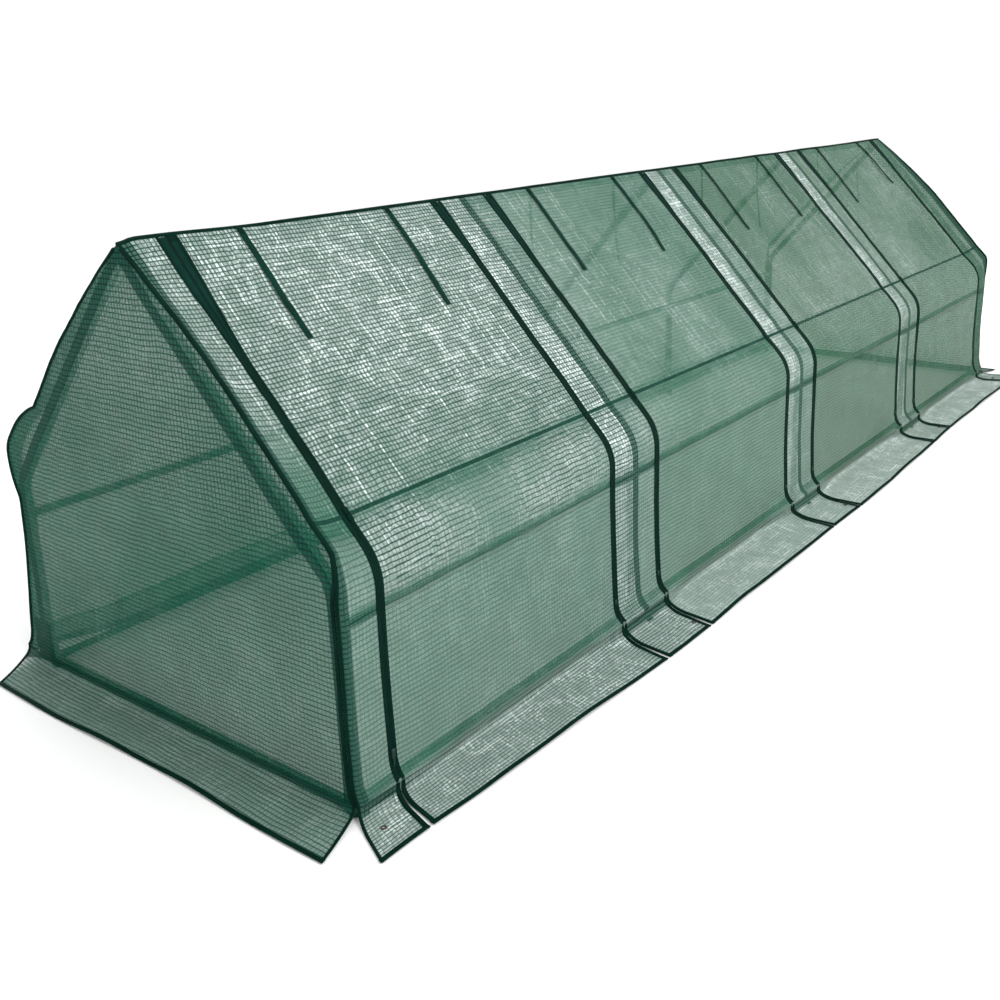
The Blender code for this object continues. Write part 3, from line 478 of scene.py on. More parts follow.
def film_sheet(name, columns, rows, point, material, body, replaced, outward, side):
    """A sheet of film over a grid of places, just off the surface that point gives.

    side tells which side's painted sheen it has, or is 0 for an end.
    """
    verts = []
    places = []
    for row in rows:
        for column in columns:
            vert = point(column, row, FILM_OFF)[0]
            verts.append(vert)
            if side:
                places.append((column, row, painted_sheen_at(column, row, side)))
            else:
                down = row if row > SKIRT_FROM else SKIRT_FROM + SKIRT_TOP - vert.z
                # An end's painted sheen: painted light, lighter towards the top, and 0.30 on its skirt.
                pale = 0.10 + 0.14 * rough(vert.y, vert.z, 6.0, 4.0, 43.0) + 0.25 * fade(vert.z, 0.55, 0.85)
                places.append((vert.y, down, max(0.0, pale) if row < SKIRT_FROM + 0.01 else 0.30))
    width = len(columns)
    faces = []
    for row in range(len(rows) - 1):
        for column in range(width - 1):
            first = row * width + column
            faces.append((first, first + 1, first + 1 + width, first + width))
    mesh = make_mesh(name, verts, faces, places)
    if mesh.polygons[len(faces) // 2].normal.dot(Vector(outward)) < 0:
        mesh.flip_normals()
    return add_object(name, mesh, material, body, replaced)


def new_store():
    """An empty store of corners, faces and cloth places."""
    return {"verts": [], "faces": [], "places": []}


def close_tube(store, base, count, sides):
    """Join the rings of a tube that starts at a corner number, and close both ends."""
    for index in range(count - 1):
        for step in range(sides):
            following = (step + 1) % sides
            first = base + index * sides
            store["faces"].append((first + step, first + sides + step, first + sides + following, first + following))
    store["faces"].append(tuple(base + step for step in range(sides)))
    last = base + (count - 1) * sides
    store["faces"].append(tuple(last + step for step in reversed(range(sides))))


def walk(places):
    """Each place of a path, with its number, its direction and its distance from the start."""
    along = 0.0
    for index, place in enumerate(places):
        before = places[max(index - 1, 0)]
        if index:
            along += (place - before).length
        yield index, place, (places[min(index + 1, len(places) - 1)] - before).normalized(), along


def add_band(store, path, width, low, high, widths=None):
    """A closed flat band with rounded edges along a path of points and normals."""
    base = len(store["verts"])
    for index, place, run, along in walk([place for place, _ in path]):
        across = path[index][1].cross(run).normalized()
        up = run.cross(across)
        half = (widths[index] if widths else width) / 2
        soft = min(0.0009, (high - low) / 2.2, half / 2)
        ring = ((-half, low + soft), (-half + soft, low), (half - soft, low), (half, low + soft),
                (half, high - soft), (half - soft, high), (-half + soft, high), (-half, high - soft))
        for side, rise in ring:
            store["verts"].append(place + across * side + up * rise)
            store["places"].append((along, side, 0.0))
    close_tube(store, base, len(path), 8)


def add_rope(store, path, radii, sides=10):
    """A closed round rod along a path of points, with a radius at each."""
    base = len(store["verts"])
    side = None
    for index, place, run, along in walk(path):
        if side is None:
            side = run.orthogonal().normalized()
        side = (side - run * side.dot(run)).normalized()
        up = run.cross(side)
        for step in range(sides):
            angle = -2 * math.pi * step / sides
            store["verts"].append(place + (side * math.cos(angle) + up * math.sin(angle)) * radii[index])
            store["places"].append((along, radii[index] * angle, 0.0))
    close_tube(store, base, len(path), sides)


def store_piece(store, name, material, body, replaced=()):
    """Turn a store into a piece."""
    mesh = make_mesh(name, store["verts"], store["faces"], store["places"])
    piece = add_object(name, mesh, material, body, replaced)
    mesh.set_sharp_from_angle(angle=math.radians(50))
    return piece


# Materials

def new_material(name):
    """A material with its node tree and shader."""
    material = bpy.data.materials.new(name)
    material.use_nodes = True
    return material, material.node_tree, material.node_tree.nodes["Principled BSDF"]


def feed(tree, node, inputs):
    """Give a node's inputs their values, or link them to the sockets given."""
    for key, value in inputs.items():
        if isinstance(value, bpy.types.NodeSocket):
            tree.links.new(value, node.inputs[key])
        else:
            node.inputs[key].default_value = value


def add_node(tree, kind, settings=None, inputs=None):
    """Add a node, with its settings and its inputs."""
    node = tree.nodes.new(kind)
    for key, value in (settings or {}).items():
        setattr(node, key, value)
    feed(tree, node, inputs or {})
    return node


def maths(tree, operation, first, second=0.0):
    """A maths node's result."""
    return add_node(tree, "ShaderNodeMath", {"operation": operation}, {0: first, 1: second}).outputs[0]


def chain(tree, operation, values):
    """The result of maths nodes that take in one value after the other."""
    result = values[0]
    for value in values[1:]:
        result = maths(tree, operation, result, value)
    return result


def times(tree, *values):
    """The product of values."""
    return chain(tree, "MULTIPLY", values)


def plus(tree, *values):
    """The sum of values."""
    return chain(tree, "ADD", values)


def most(tree, *values):
    """The largest of values."""
    return chain(tree, "MAXIMUM", values)


def minus(tree, first, second):
    """One value less another."""
    return maths(tree, "SUBTRACT", first, second)


def waves(tree, value, pitch):
    """A wave from 0 to 0.5 and back for each pitch of a value."""
    return maths(tree, "PINGPONG", times(tree, value, 1 / pitch), 0.5)


def mix(tree, share, first, second):
    """A mix of two colours."""
    return add_node(tree, "ShaderNodeMix", {"data_type": "RGBA"}, {0: share, 6: first, 7: second}).outputs[2]


def ramp(tree, value, low, high, to_low=0.0, to_high=1.0):
    """A value moved smoothly from one range to another."""
    inputs = {"Value": value, "From Min": low, "From Max": high, "To Min": to_low, "To Max": to_high}
    return add_node(tree, "ShaderNodeMapRange", {"interpolation_type": "SMOOTHSTEP"}, inputs).outputs[0]


def relief(tree, strength, depth, height):
    """A bump's normal."""
    inputs = {"Strength": strength, "Distance": depth, "Height": height}
    return add_node(tree, "ShaderNodeBump", None, inputs).outputs[0]


def noise_value(tree, vector, scale, detail=2.0):
    """A noise texture's value."""
    inputs = {"Vector": vector, "Scale": scale, "Detail": detail}
    return add_node(tree, "ShaderNodeTexNoise", None, inputs).outputs[0]


def cloth_places(tree):
    """The cloth's coordinates in metres and its painted sheen, as a vector and as its three parts."""
    place = add_node(tree, "ShaderNodeAttribute", {"attribute_name": "cloth_place"}).outputs["Vector"]
    return place, *add_node(tree, "ShaderNodeSeparateXYZ", None, {0: place}).outputs


def strand_mask(tree, value, pitch, half_width):
    """1 on the strands, which lie a pitch apart, and 0 between them."""
    return ramp(tree, waves(tree, value, pitch), half_width * 0.5, half_width, 1.0, 0.0)


def cell_value(tree, across, along, wide, tall, seed):
    """A random value for each cell of the weave, wide by tall strands large."""
    column = maths(tree, "FLOOR", times(tree, across, 1 / (STRAND_PITCH[0] * wide)))
    row = maths(tree, "FLOOR", times(tree, along, 1 / (STRAND_PITCH[1] * tall)))
    cell = add_node(tree, "ShaderNodeCombineXYZ", None, {0: column, 1: row, 2: seed})
    return add_node(tree, "ShaderNodeTexWhiteNoise", None, {"Vector": cell.outputs[0]}).outputs[0]


def near_zero(tree, value, reach):
    """1 where a value is within a reach of zero, and 0 outside it."""
    return ramp(tree, maths(tree, "ABSOLUTE", value), reach - BAND_SOFT / 2, reach + BAND_SOFT / 2, 1.0, 0.0)


def painted_tube_shade_mask(tree, is_end, rails_share):
    """1 where the film lies on a tube of the frame: a painted shade band that stands for the tube and its shade seen
    through the film.

    rails_share is how much of that the purlins and rails keep between the strips.
    """
    place = add_node(tree, "ShaderNodeTexCoord").outputs["Object"]
    x, y, z = add_node(tree, "ShaderNodeSeparateXYZ", None, {0: place}).outputs
    out = maths(tree, "ABSOLUTE", y)
    foot = near_zero(tree, minus(tree, z, RAIL_HEIGHT), TUBE_RADIUS + 0.001)
    if not is_end:
        turns = times(tree, minus(tree, x, END_HOOP_X), 1 / SPACING)
        off = times(tree, maths(tree, "PINGPONG", turns, 0.5), SPACING)
        hoops = times(tree, near_zero(tree, off, BAND_REACH), maths(tree, "GREATER_THAN", z, HOOP_BAND_FROM))
        purlin = near_zero(tree, minus(tree, z, PURLIN_HEIGHT), TUBE_RADIUS)
        edge = STRIP_WIDTH / 2
        share = ramp(tree, off, edge - 0.01, edge + 0.01, 1.0, rails_share)
        return most(tree, hoops, times(tree, most(tree, purlin, foot), share))
    leg = near_zero(tree, minus(tree, out, HALF_WIDTH), BAND_REACH)
    patch = near_zero(tree, minus(tree, y, CORNER_PATCH_Y), CORNER_PATCH_REACH)
    leg = most(tree, leg, times(tree, patch, maths(tree, "LESS_THAN", z, CORNER_PATCH_TOP)))
    leg = times(tree, leg, maths(tree, "LESS_THAN", z, SHOULDER_Z), maths(tree, "GREATER_THAN", z, LEG_BAND_FROM))
    down = times(tree, minus(tree, z, RIDGE_Z), math.cos(SLOPE))
    rafter = plus(tree, times(tree, out, math.sin(SLOPE)), down)
    start = CENTRE_Y + BEND_RADIUS * math.sin(SLOPE)
    rafter = times(tree, near_zero(tree, rafter, BAND_REACH), maths(tree, "LESS_THAN", out, start))
    bend_y = minus(tree, out, CENTRE_Y)
    bend_z = minus(tree, z, SHOULDER_Z)
    square = plus(tree, times(tree, bend_y, bend_y), times(tree, bend_z, bend_z))
    bend = near_zero(tree, minus(tree, maths(tree, "SQRT", square), SHOULDER_RADIUS), BAND_REACH)
    bend = times(tree, bend, maths(tree, "GREATER_THAN", out, start), maths(tree, "GREATER_THAN", z, SHOULDER_Z))
    return most(tree, leg, rafter, bend, foot)


def film_material(name, light, clear, tint, fineness):
    """Green film with a woven grid of strands.

    light scales its painted sheen, clear is what shows through, and fineness is how little its strands stand out.
    """
    material, tree, shader = new_material(f"film_{name}")
    is_end = name == "end"
    place, across, along, pale = cloth_places(tree)
    wander = add_node(tree, "ShaderNodeTexNoise", None, {"Vector": place, "Scale": 13.0, "Detail": 3.0})
    drift = add_node(tree, "ShaderNodeSeparateXYZ", None, {0: wander.outputs["Color"]}).outputs
    across = plus(tree, across, times(tree, drift[0], STRAND_DRIFT))
    along = plus(tree, along, times(tree, drift[1], STRAND_DRIFT))

    # The grid, whose upright strands are fainter on the wall
    faint = ramp(tree, along, SEAM_AT - 0.05, SEAM_AT + 0.12, 1.0, 0.60)
    upright = times(tree, strand_mask(tree, across, STRAND_PITCH[0], 0.17), faint)
    grid = most(tree, upright, strand_mask(tree, along, STRAND_PITCH[1], 0.19))
    # Where fineness is 0 the strands show more under the painted sheen.
    if fineness == 0:
        grid = times(tree, grid, ramp(tree, pale, 0.05, 0.85, 0.62, 1.0))
    grid = times(tree, grid, 1 - fineness)

    # Painted light where the film is pale: a painted haze, painted glints of cells and of rows of them, and long
    # painted highlight runs on the roof
    patch = ramp(tree, noise_value(tree, place, 16.0, 3.0), 0.36, 0.64)
    small = ramp(tree, cell_value(tree, across, along, 0.5, 0.5, 1.0), 0.60, 1.0)
    dash = ramp(tree, cell_value(tree, across, along, 0.4, 5, 2.0), 0.74, 1.0)
    level = ramp(tree, cell_value(tree, across, along, 7, 0.4, 3.0), 0.78, 1.0)
    run = times(tree, maths(tree, "GREATER_THAN", cell_value(tree, across, along, 0.4, 22, 4.0), 0.955),
                0.0 if is_end else ramp(tree, along, SEAM_AT, WALL_FROM, 1.0, 0.0),
                ramp(tree, cell_value(tree, across, along, 0.4, 1, 5.0), 0.30, 0.60))
    painted_glint = times(tree, most(tree, small, most(tree, dash, level)), plus(tree, times(tree, patch, 0.50), 0.25))
    pale = times(tree, pale, light)
    painted_haze = times(tree, pale, plus(tree, times(tree, patch, 0.10), 0.39))
    painted_shine = times(tree, painted_glint, plus(tree, times(tree, pale, 0.72), 0.04))
    painted_sheen = plus(tree, painted_haze, painted_shine, times(tree, run, plus(tree, times(tree, pale, 0.6), 0.18)))
    # Painted shade where the film lies on a tube, weaker on the purlins and rails between the strips except on the
    # back.
    painted_tube_shade = times(tree, painted_tube_shade_mask(tree, is_end, 1.0 if name == "back" else 0.45), PAINTED_TUBE_SHADE)
    painted_sheen = maths(tree, "MINIMUM", times(tree, painted_sheen, minus(tree, 1.0, times(tree, painted_tube_shade, 0.85))), 1.0)

    # Colour with its painted sheen and painted tube shade, thickness and relief
    darker = (tint[0] * 0.78, tint[1] * 0.84, tint[2] * 0.84, 1.0)
    base = mix(tree, ramp(tree, wander.outputs["Fac"], 0.35, 0.65), darker, tint)
    # The strands are lightened under the painted sheen.
    grid = times(tree, grid, minus(tree, 1.0, times(tree, painted_sheen, 0.12)))
    painted_tube_shade_share = times(tree, painted_tube_shade, plus(tree, times(tree, grid, 0.36), 0.62))
    base = mix(tree, grid, mix(tree, painted_sheen, base, PAINTED_SHEEN_WHITE), STRAND_COLOUR)
    thick = ramp(tree, grid, 0.0, 1.0, 1 - clear, 0.93)
    height = plus(tree, times(tree, grid, 0.7), times(tree, small, 0.45), times(tree, wander.outputs["Fac"], 2.5))
    feed(tree, shader, {
        "Base Color": mix(tree, painted_tube_shade_share, base, PAINTED_TUBE_SHADE_COLOUR),
        "Alpha": most(tree, thick, times(tree, painted_tube_shade, 1.05), times(tree, painted_sheen, 0.95)),
        "Roughness": ramp(tree, painted_sheen, 0.0, 1.0, 0.46, 0.30),
        "Normal": relief(tree, 0.6, 0.0008, height),
        "Specular IOR Level": 0.02,
    })
    return material


def tape_material(name, colour, pale, stitch=None, alpha=1.0):
    """A woven tape with ribs across it, and a line of stitches where stitch gives its place."""
    material, tree, shader = new_material(name)
    place, along, across, _ = cloth_places(tree)
    ribs = waves(tree, along, RIB_PITCH)
    fine = noise_value(tree, place, 240.0)
    tone = ramp(tree, noise_value(tree, place, 14.0, 3.0), 0.3, 0.7)
    base = mix(tree, tone, colour, pale)
    height = plus(tree, times(tree, ribs, 0.8), times(tree, fine, 0.4))
    if stitch is not None:
        near = ramp(tree, maths(tree, "ABSOLUTE", minus(tree, across, stitch)), 0.0002, 0.0006, 1.0, 0.0)
        dashes = ramp(tree, waves(tree, along, STITCH_PITCH), 0.10, 0.18)
        base = mix(tree, times(tree, near, dashes), base, pale)
        height = minus(tree, height, times(tree, near, 0.5))
    if alpha < 1:
        alpha = ramp(tree, noise_value(tree, place, 90.0), 0.35, 0.65, alpha - 0.12, alpha + 0.08)
    feed(tree, shader, {"Base Color": base, "Alpha": alpha, "Roughness": ramp(tree, fine, 0.3, 0.7, 0.55, 0.72),
                        "Normal": relief(tree, 0.6, 0.0005, height), "Specular IOR Level": 0.03})
    return material


def solid_material(name, colour, worn, grain, depth, roughness, metallic=0.0):
    """Paint, moulded plastic or metal, with a fine grain and paler worn patches."""
    material, tree, shader = new_material(name)
    place = add_node(tree, "ShaderNodeTexCoord").outputs["Object"]
    fine = noise_value(tree, place, grain, 3.0)
    worn_share = ramp(tree, noise_value(tree, place, 9.0, 4.0), 0.52, 0.75)
    feed(tree, shader, {"Base Color": mix(tree, worn_share, colour, worn), "Metallic": metallic,
                        "Roughness": ramp(tree, fine, 0.3, 0.7, roughness - 0.08, roughness + 0.10),
                        "Normal": relief(tree, 0.35, depth, fine), "Specular IOR Level": 0.35})
    return material


def zip_material(name):
    """The zip's coil, ribbed across its run."""
    material, tree, shader = new_material(name)
    _, along, _, _ = cloth_places(tree)
    teeth = waves(tree, along, COIL_PITCH)
    base = mix(tree, ramp(tree, teeth, 0.10, 0.34), (0.0008, 0.0080, 0.0056, 1.0), (0.0026, 0.0230, 0.0165, 1.0))
    feed(tree, shader, {"Base Color": base, "Roughness": ramp(tree, teeth, 0.0, 0.5, 0.60, 0.42),
                        "Normal": relief(tree, 0.9, 0.0008, teeth), "Specular IOR Level": 0.06})
    return material


BINDING_TAPE = tape_material("binding_tape", (0.0008, 0.0125, 0.0080, 1.0), (0.0018, 0.0200, 0.0135, 1.0), 0.0026)
TIE_WEBBING = tape_material("tie_webbing", (0.0018, 0.0210, 0.0140, 1.0), (0.0034, 0.0310, 0.0215, 1.0))
ZIP_TAPE = tape_material("zip_tape", (0.0018, 0.0200, 0.0150, 1.0), (0.0034, 0.0290, 0.0220, 1.0))
# The seam tape: a real seam line, widened into painted shade of the fold.
SEAM_TAPE_AND_FOLD_SHADE = tape_material("seam_tape_and_fold_shade", (0.0070, 0.0480, 0.0320, 1.0), (0.0150, 0.0780, 0.0540, 1.0), 0.0014, 0.66)
FRAME_PAINT = solid_material("frame_paint", (0.008, 0.050, 0.032, 1.0), (0.015, 0.070, 0.046, 1.0), 900.0,
                             0.0002, 0.42)
JOINT_PLASTIC = solid_material("joint_plastic", (0.006, 0.034, 0.024, 1.0), (0.012, 0.050, 0.037, 1.0), 1500.0,
                               0.0002, 0.55)
SLIDER_PLASTIC = solid_material("slider_plastic", (0.004, 0.024, 0.017, 1.0), (0.010, 0.046, 0.034, 1.0), 2200.0,
                                0.0001, 0.45)
EYELET_METAL = solid_material("eyelet_metal", (0.060, 0.022, 0.018, 1.0), (0.035, 0.020, 0.018, 1.0), 700.0, 0.0002,
                              0.40, 0.5)
ZIP_COIL = zip_material("zip_coil")
# Lit and shaded copies of one film: tints and light set by place are painted light and shade, the end's darker tint
# being painted shade.
FILM = {name: film_material(name, *look) for name, look in {
    "near": (1.00, 0.36, (0.060, 0.195, 0.134, 1.0), 0.0),
    "middle": (0.82, 0.36, (0.080, 0.215, 0.145, 1.0), 0.40),
    "far": (0.90, 0.34, (0.050, 0.155, 0.088, 1.0), 0.62),
    "end": (0.74, 0.36, (0.010, 0.140, 0.082, 1.0), 0.15),
    "back": (0.80, 0.24, (0.045, 0.180, 0.108, 1.0), 0.25),
}.items()}


# Cloth pieces

def row_places(first, last):
    """Distances from the ridge of a sheet's rows, closer where the cover bends."""
    places = spread(CREST, 0.0, RIDGE_STEP) + spread(0.0, SEAM_AT, 0.016) + spread(SEAM_AT, WALL_FROM, 0.0085)
    places += spread(WALL_FROM, SKIRT_FROM - 0.01, 0.017) + spread(SKIRT_FROM - 0.01, SKIRT_FROM + 0.045, 0.005)
    places += spread(SKIRT_FROM + 0.045, HEM_AT, DOWN_STEP)
    return sorted({round(value, 5) for value in places if first + 0.001 < value < last - 0.001} | {first, last})


def window(low, high, pinch):
    """The front of the cover between two side edges, which pinch draws together towards the hem."""
    def point(x, s, lift=0.0):
        if s < 0:
            return over_point(x, -RIDGE_ARC - s, lift)
        place, normal = cover_point(x, s, -1, lift)
        out = section(s)[4]
        if out > 0:
            share = max(0.0, 1 - (x - low) / 0.06) - max(0.0, 1 - (high - x) / 0.06)
            place.x += pinch * share * out / SKIRT_WIDTH
        return place, normal
    return point


def row_band(store, point, low, high, s, width, rise=BINDING_RISE, lift=0.0):
    """A band along the cover at one distance from the ridge."""
    add_band(store, [point(x, s) for x in spread(low, high, ALONG_STEP)], width, lift, rise)


def zip_side(stores, point, edge, way, first, last, wedge, reach):
    """One side of a zip from the ridge down: the tape, its binding and its half of the coil.

    wedge is how far the side stands off at the ridge, and reach how far down it meets the other.
    """
    binding, tape, coil = stores
    binding_path, tape_path, coil_path, tape_widths, binding_widths = [], [], [], [], []
    for s in spread(first, last, DOWN_STEP if last - first > 0.03 else RIDGE_STEP):
        opened = wedge * (1 - fade(s, RIDGE_LAP, reach))
        closed = 1 - fade(s, SKIRT_FROM, SKIRT_FROM + 0.02)
        tape_width = ZIP_TAPE_WIDTH * closed + 0.0004 + opened
        binding_width = BINDING - ZIP_TAPE_WIDTH * closed
        if s < SKIRT_FROM:
            tape_path.append(point(edge + way * tape_width / 2, s))
            tape_widths.append(tape_width)
            coil_path.append(point(edge + way * 0.0013, s))
        binding_path.append(point(edge + way * (tape_width + binding_width / 2 - 0.0004), s))
        binding_widths.append(binding_width)
    add_band(tape, tape_path, 0.0, 0.0001, 0.0016, tape_widths)
    add_band(coil, coil_path, COIL, 0.0014, 0.0023)
    add_band(binding, binding_path, 0.0, 0.0, BINDING_RISE, binding_widths)


def store_trims(stores, label, number, body):
    """Turn the stores of bindings, zip tapes and coils into three pieces."""
    kinds = ("binding", BINDING_TAPE), ("zip_tape", ZIP_TAPE), ("zip_coil", ZIP_COIL)
    return [store_piece(store, f"{label}_{kind}_{number}", material, body)
            for store, (kind, material) in zip(stores, kinds)]


def knot(store, point, edge, way, first, last):
    """The doubled end of a binding, where it is sewn at the seam."""
    path = [point(edge + way * 0.0052, s) for s in spread(first, last, 0.004)]
    add_band(store, path, 0.0112, 0.0012, 0.0042)


def eyelet(store, point, x, s):
    """A small metal eyelet in the skirt."""
    centre, normal = point(x, s, 0.0014)
    side = Vector((1.0, 0.0, 0.0))
    up = normal.cross(side)
    ring = [centre + (side * math.cos(angle) + up * math.sin(angle)) * 0.0042
            for angle in (2 * math.pi * step / 20 for step in range(20))]
    add_rope(store, ring + ring[:1], [0.0013] * 21, 8)


def zip_wedge(door, left):
    """How far a zip's sides stand apart at the ridge, and how far down the roof they meet."""
    if door == 0 and left:
        return 0.0125, 0.30
    return (0.0060, 0.24) if left else (0.0075, 0.20)


TOP = RIDGE_LAP + ZIP_GAP
metal = new_store()

for index in range(HOOP_COUNT):
    low, high = strip_span(index)
    number = index + 1
    point = window(low, high, 0.005 if 0 < index < DOOR_COUNT else 0.003)
    look = FILM["near" if index < 2 else "middle" if index == 2 else "far"]
    strip = film_sheet(f"strip_cover_{number}", spread(low, high, ALONG_STEP), row_places(CREST, HEM_AT), point,
                       look, "frame", [f"front_strip_{number}"], FRONT, -1)
    stores = new_store(), new_store(), new_store()
    for edge, way, is_zip in ((low, 1, index > 0), (high, -1, index < DOOR_COUNT)):
        if is_zip:
            wedge = zip_wedge(index if way < 0 else index - 1, way < 0)
            zip_side(stores, point, edge, way, CREST, HEM_AT, *wedge)
        else:
            path = [point(edge + way * EDGE_BINDING * 0.36, s) for s in spread(CREST, HEM_AT, DOWN_STEP)]
            add_band(stores[0], path, EDGE_BINDING, 0.0, BINDING_RISE)
    row_band(stores[0], point, low, high, HEM_AT - BINDING / 2, BINDING)
    bound, tape, coil = store_trims(stores, "strip", number, "frame")
    store = new_store()
    # The seam tape, partly painted shade of the fold.
    row_band(store, point, low + 0.009, high - 0.009, SEAM_AT, SEAM_WIDTH, 0.0018, 0.0009)
    seam = store_piece(store, f"strip_seam_{number}", SEAM_TAPE_AND_FOLD_SHADE, "frame")
    if 0 < index < DOOR_COUNT:
        eyelet(metal, point, high - 0.016, SKIRT_FROM + 0.125)
    else:
        eyelet(metal, point, (low + high) / 2 - 0.012, SKIRT_FROM + 0.085)

for index in range(DOOR_COUNT):
    low, high = door_span(index)
    number = index + 1
    roof_body = f"door_{number}_roof"
    wall_body = f"door_{number}_wall"
    point = window(low, high, 0.005)
    look = FILM["near" if index == 0 else "middle" if index == 1 else "far"]
    sides = (low, 1), (high, -1)
    columns = spread(low, high, 0.0145)
    fold_end = TOP + ZIP_GAP
    seam_top = SEAM_AT - ZIP_GAP / 2
    seam_foot = SEAM_AT + ZIP_GAP / 2
    roof = film_sheet(f"roof_cover_{number}", columns, row_places(fold_end, seam_top), point, look, roof_body,
                      [f"roof_flap_{number}"], FRONT, -1)
    wall = film_sheet(f"wall_cover_{number}", columns, row_places(seam_foot, HEM_AT), point, look, wall_body,
                      [f"wall_flap_{number}"], FRONT, -1)
    parts = {}
    halves = (("roof", roof_body, fold_end, seam_top, (seam_top - 0.013, seam_top - 0.0005)),
              ("wall", wall_body, seam_foot, HEM_AT, (seam_foot + 0.0005, seam_foot + 0.012)))
    for label, body, first, last, doubled in halves:
        stores = new_store(), new_store(), new_store()
        for edge, way in sides:
            zip_side(stores, point, edge, way, first, last, *zip_wedge(index, way > 0))
            knot(stores[0], point, edge, way, *doubled)
        if label == "wall":
            row_band(stores[0], point, low, high, HEM_AT - BINDING / 2, BINDING)
        parts[label] = store_trims(stores, label, number, body)
    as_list(parts["roof"])
    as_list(parts["wall"])

    # The folds that join the door to the ridge and its wall to its roof
    middle = (low + high) / 2
    # The seam tape, partly painted shade of the fold.
    store = new_store()
    row_band(store, point, low + 0.010, high - 0.010, SEAM_AT, SEAM_WIDTH, 0.0017, 0.0008)
    fold = store_piece(store, f"seam_fold_{number}", SEAM_TAPE_AND_FOLD_SHADE, None)
    tuple(point(middle, SEAM_AT - SEAM_WIDTH / 2)[0])
    tuple(point(middle, SEAM_AT + SEAM_WIDTH / 2)[0])
    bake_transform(fold)
    rows = spread(CREST, 0.0, RIDGE_STEP)[:-1] + spread(0.0, fold_end, 0.0026)
    fold = film_sheet(f"ridge_fold_{number}", columns, rows, point, look, None, (), FRONT, -1)
    store = new_store()
    for edge, way in sides:
        zip_side((store, store, store), point, edge, way, CREST, fold_end - 0.0002, *zip_wedge(index, way > 0))
        tie = edge + way * TIE_INSET
        add_band(store, [point(tie, s) for s in spread(CREST, fold_end + 0.0016, RIDGE_STEP)], TIE_WIDTH, *TIE_RISE)
    trim = store_piece(store, f"ridge_fold_binding_{number}", BINDING_TAPE, None)
    for piece in (fold, trim):
        tuple(point(middle, 0.004)[0])
        tuple(point(middle, fold_end)[0])
        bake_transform(piece)

    # Tie straps: two over the roof, and their partners that hang inside
    outer = new_store()
    inner = new_store()
    for edge, way in sides:
        centre = edge + way * TIE_INSET
        crumpled = index == DOOR_COUNT - 1 and way < 0
        length = CRUMPLED_TIE_LENGTH if crumpled else TIE_LENGTH
        path = []
        for s in spread(fold_end + 0.0018, TOP + BINDING + length, 0.008):
            down = (s - TOP) / length
            drift = 0.010 * rough(centre, down, 3.0, 2.0, 5.5) * down
            lift = 0.0
            if crumpled:
                drift = 0.030 * down + 0.012 * math.sin(7.0 * down)
                lift = 0.006 * bump((down - 0.35) / 0.6)
            place, normal = point(centre + drift, s)
            path.append((place + normal * (lift + 0.0008 * bump(down * 3 % 1)), normal))
        add_band(outer, path, TIE_WIDTH, *TIE_RISE)
        path = []
        for down in spread(0.0, INNER_TIE_LENGTH, 0.012):
            curl = 0.004 * math.sin(14.0 * down + 3.0 * centre)
            forward = -0.0118 - 0.35 * down ** 2 - 0.5 * abs(curl)
            place = Vector((centre - 0.002 - 0.25 * curl, forward, 0.934 - down))
            path.append((place, Vector((0.25 * math.sin(9.0 * down), -1.0, 0.0)).normalized()))
        add_band(inner, path, TIE_WIDTH, 0.0, 0.0010)
    store_piece(outer, f"tie_straps_{number}", TIE_WEBBING, roof_body, [f"door_ties_{number}"])
    store_piece(inner, f"inner_ties_{number}", TIE_WEBBING, "frame")

# The back sheet, which goes over the ridge, with the binding on top
back = film_sheet("back_cover", spread(-HALF_LENGTH, HALF_LENGTH, 0.019), row_places(CREST, HEM_AT), over_point,
                  FILM["back"], "frame", ["back_panel"], (0, 1, 0.6), 1)
store = new_store()
for edge, way in ((-HALF_LENGTH, 1), (HALF_LENGTH, -1)):
    path = [cover_point(edge + way * EDGE_BINDING / 2, s, 1) for s in spread(0.004, HEM_AT, DOWN_STEP)]
    add_band(store, path, EDGE_BINDING, 0.0, BINDING_RISE)
whole = spread(-HALF_LENGTH, HALF_LENGTH, ALONG_STEP)
add_band(store, [cover_point(x, HEM_AT - BINDING / 2, 1) for x in whole], BINDING, 0.0, BINDING_RISE)
piping = []
for x in whole:
    uneven = 0.0012 * rough(x, 0.0, 5.0, 1.0, 2.5) * fade(HALF_LENGTH - abs(x), 0.0, 0.03)
    piping.append(over_point(x, CREST, 0.0016)[0] + Vector((0.0, uneven, uneven)))
add_rope(store, piping, [PIPING_RADIUS] * len(piping))
bound = store_piece(store, "back_binding", BINDING_TAPE, "frame")

for end, label in ((-1, "near"), (1, "far")):
    panel = film_sheet(f"{label}_end_cover", spread(-1.0, 1.0, 0.032), row_places(0.0, END_HEM_AT),
                       lambda across, s, lift: end_point(across, s, end, lift), FILM["end"], "frame",
                       [f"{label}_end_panel"], (end, 0, 0.1), 0)
    store = new_store()
    for side in (-1, 1):
        path = []
        for s in spread(0.004, END_HEM_AT, DOWN_STEP):
            place, normal = end_point(side, s, end)
            place.y -= side * EDGE_BINDING * 0.36
            path.append((place, normal))
        add_band(store, path, EDGE_BINDING, 0.0, BINDING_RISE)
        rope = [end_point(side, s, end, 0.0008)[0] for s in spread(0.004, SKIRT_FROM, DOWN_STEP)]
        add_rope(store, rope, [ROPE_RADIUS] * len(rope), 8)
    add_band(store, [end_point(across, END_HEM_AT - BINDING / 2, end) for across in spread(-1.0, 1.0, 0.03)],
             BINDING, 0.0, BINDING_RISE)
    bound = store_piece(store, f"{label}_end_binding", BINDING_TAPE, "frame")

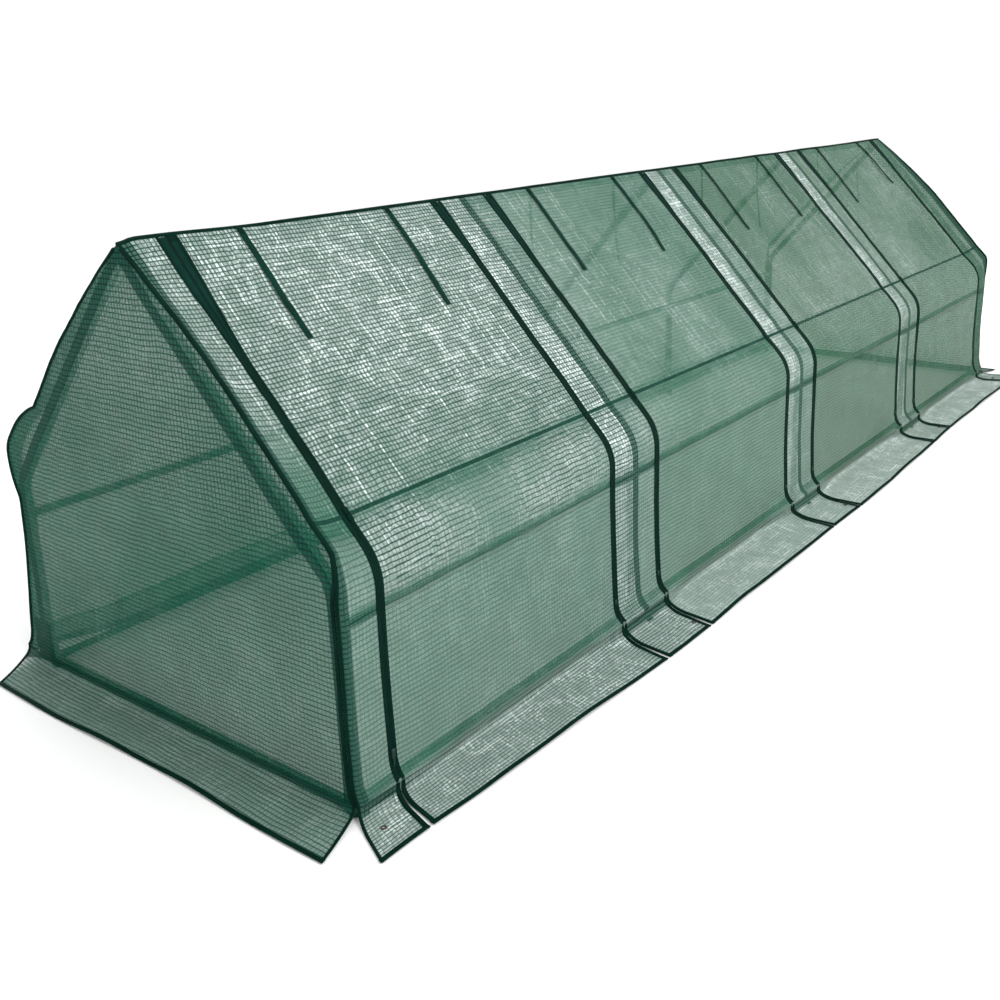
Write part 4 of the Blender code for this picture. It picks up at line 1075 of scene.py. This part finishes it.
# Hooks on the front legs of the middle hoops, which hold the cover's inner straps
store = new_store()
for index in range(1, DOOR_COUNT):
    x = hoop_x(index)
    path = []
    radii = []
    for share in spread(0.0, 1.0, 0.05):
        turn = math.pi * 1.25 * share
        height = 0.066 + 0.0165 * math.cos(turn)
        path.append(Vector((x + 0.0165 + 0.0085 * math.sin(turn + 0.2), -HALF_WIDTH, height)))
        radii.append(0.0018 if share < 0.9 else 0.0038 if share < 0.97 else 0.0022)
    path.insert(0, Vector((x + 0.0082, -HALF_WIDTH, 0.0825)))
    radii.insert(0, 0.0020)
    add_rope(store, path, radii)
store_piece(store, "leg_hooks", JOINT_PLASTIC, "frame")
store_piece(metal, "skirt_eyelets", EYELET_METAL, "frame")

# Finishes of the frame's own nodes
for name, node in NODES.items():
    if not node.hide_render:
        finish = SLIDER_PLASTIC if "slider" in name else JOINT_PLASTIC if "joint" in name else FRAME_PAINT
        node.data.materials.clear()
        node.data.materials.append(finish)


# Floor, light and camera

def add_light(name, place, aim, size, energy, colour):
    """A soft square light that looks at a point."""
    data = bpy.data.lights.new(name, "AREA")
    data.size = size
    data.energy = energy
    data.color = colour
    lamp = new_object(name, data)
    lamp.location = place
    lamp.rotation_euler = (Vector(aim) - Vector(place)).to_track_quat("-Z", "Y").to_euler()


def add_floor():
    """A plain pale floor."""
    size = 40.0
    mesh = bpy.data.meshes.new("floor")
    mesh.from_pydata([(-size, -size, 0), (size, -size, 0), (size, size, 0), (-size, size, 0)], [], [(0, 1, 2, 3)])
    floor = new_object("floor", mesh)
    material, tree, shader = new_material("floor")
    place = add_node(tree, "ShaderNodeTexCoord").outputs["Object"]
    shade = mix(tree, noise_value(tree, place, 0.4), (0.95, 0.95, 0.95, 1.0), (0.97, 0.97, 0.97, 1.0))
    feed(tree, shader, {"Base Color": shade, "Roughness": 0.9, "Specular IOR Level": 0.1})
    mesh.materials.append(material)


add_floor()
world = bpy.data.worlds.new("studio")
bpy.context.scene.world = world
world.use_nodes = True
feed(world.node_tree, world.node_tree.nodes["Background"], {"Color": (1.0, 1.0, 1.0, 1.0), "Strength": 1.05})
add_light("key", (-1.6, -4.2, 4.6), (0.0, 0.0, 0.4), 3.0, 170.0, (1.0, 0.99, 0.97))
add_light("fill", (4.5, -2.5, 3.2), (0.6, 0.0, 0.4), 3.5, 60.0, (0.97, 0.99, 1.0))
add_light("rim", (0.5, 4.5, 3.8), (0.0, 0.0, 0.5), 3.0, 70.0, (1.0, 1.0, 1.0))
bpy.context.scene.view_settings.view_transform = "Standard"

camera_data = bpy.data.cameras.new("camera")
camera_data.sensor_width = 36.0
camera_data.lens = 39.953
camera_data.shift_x = -0.020
camera_data.shift_y = -0.070
camera_data.clip_end = 100.0
camera = new_object("camera", camera_data)
camera.location = (-2.8953, -1.7047, 1.1714)
camera.rotation_euler = [math.radians(angle) for angle in (73.213, 1.798, -52.780)]
bpy.context.scene.camera = camera
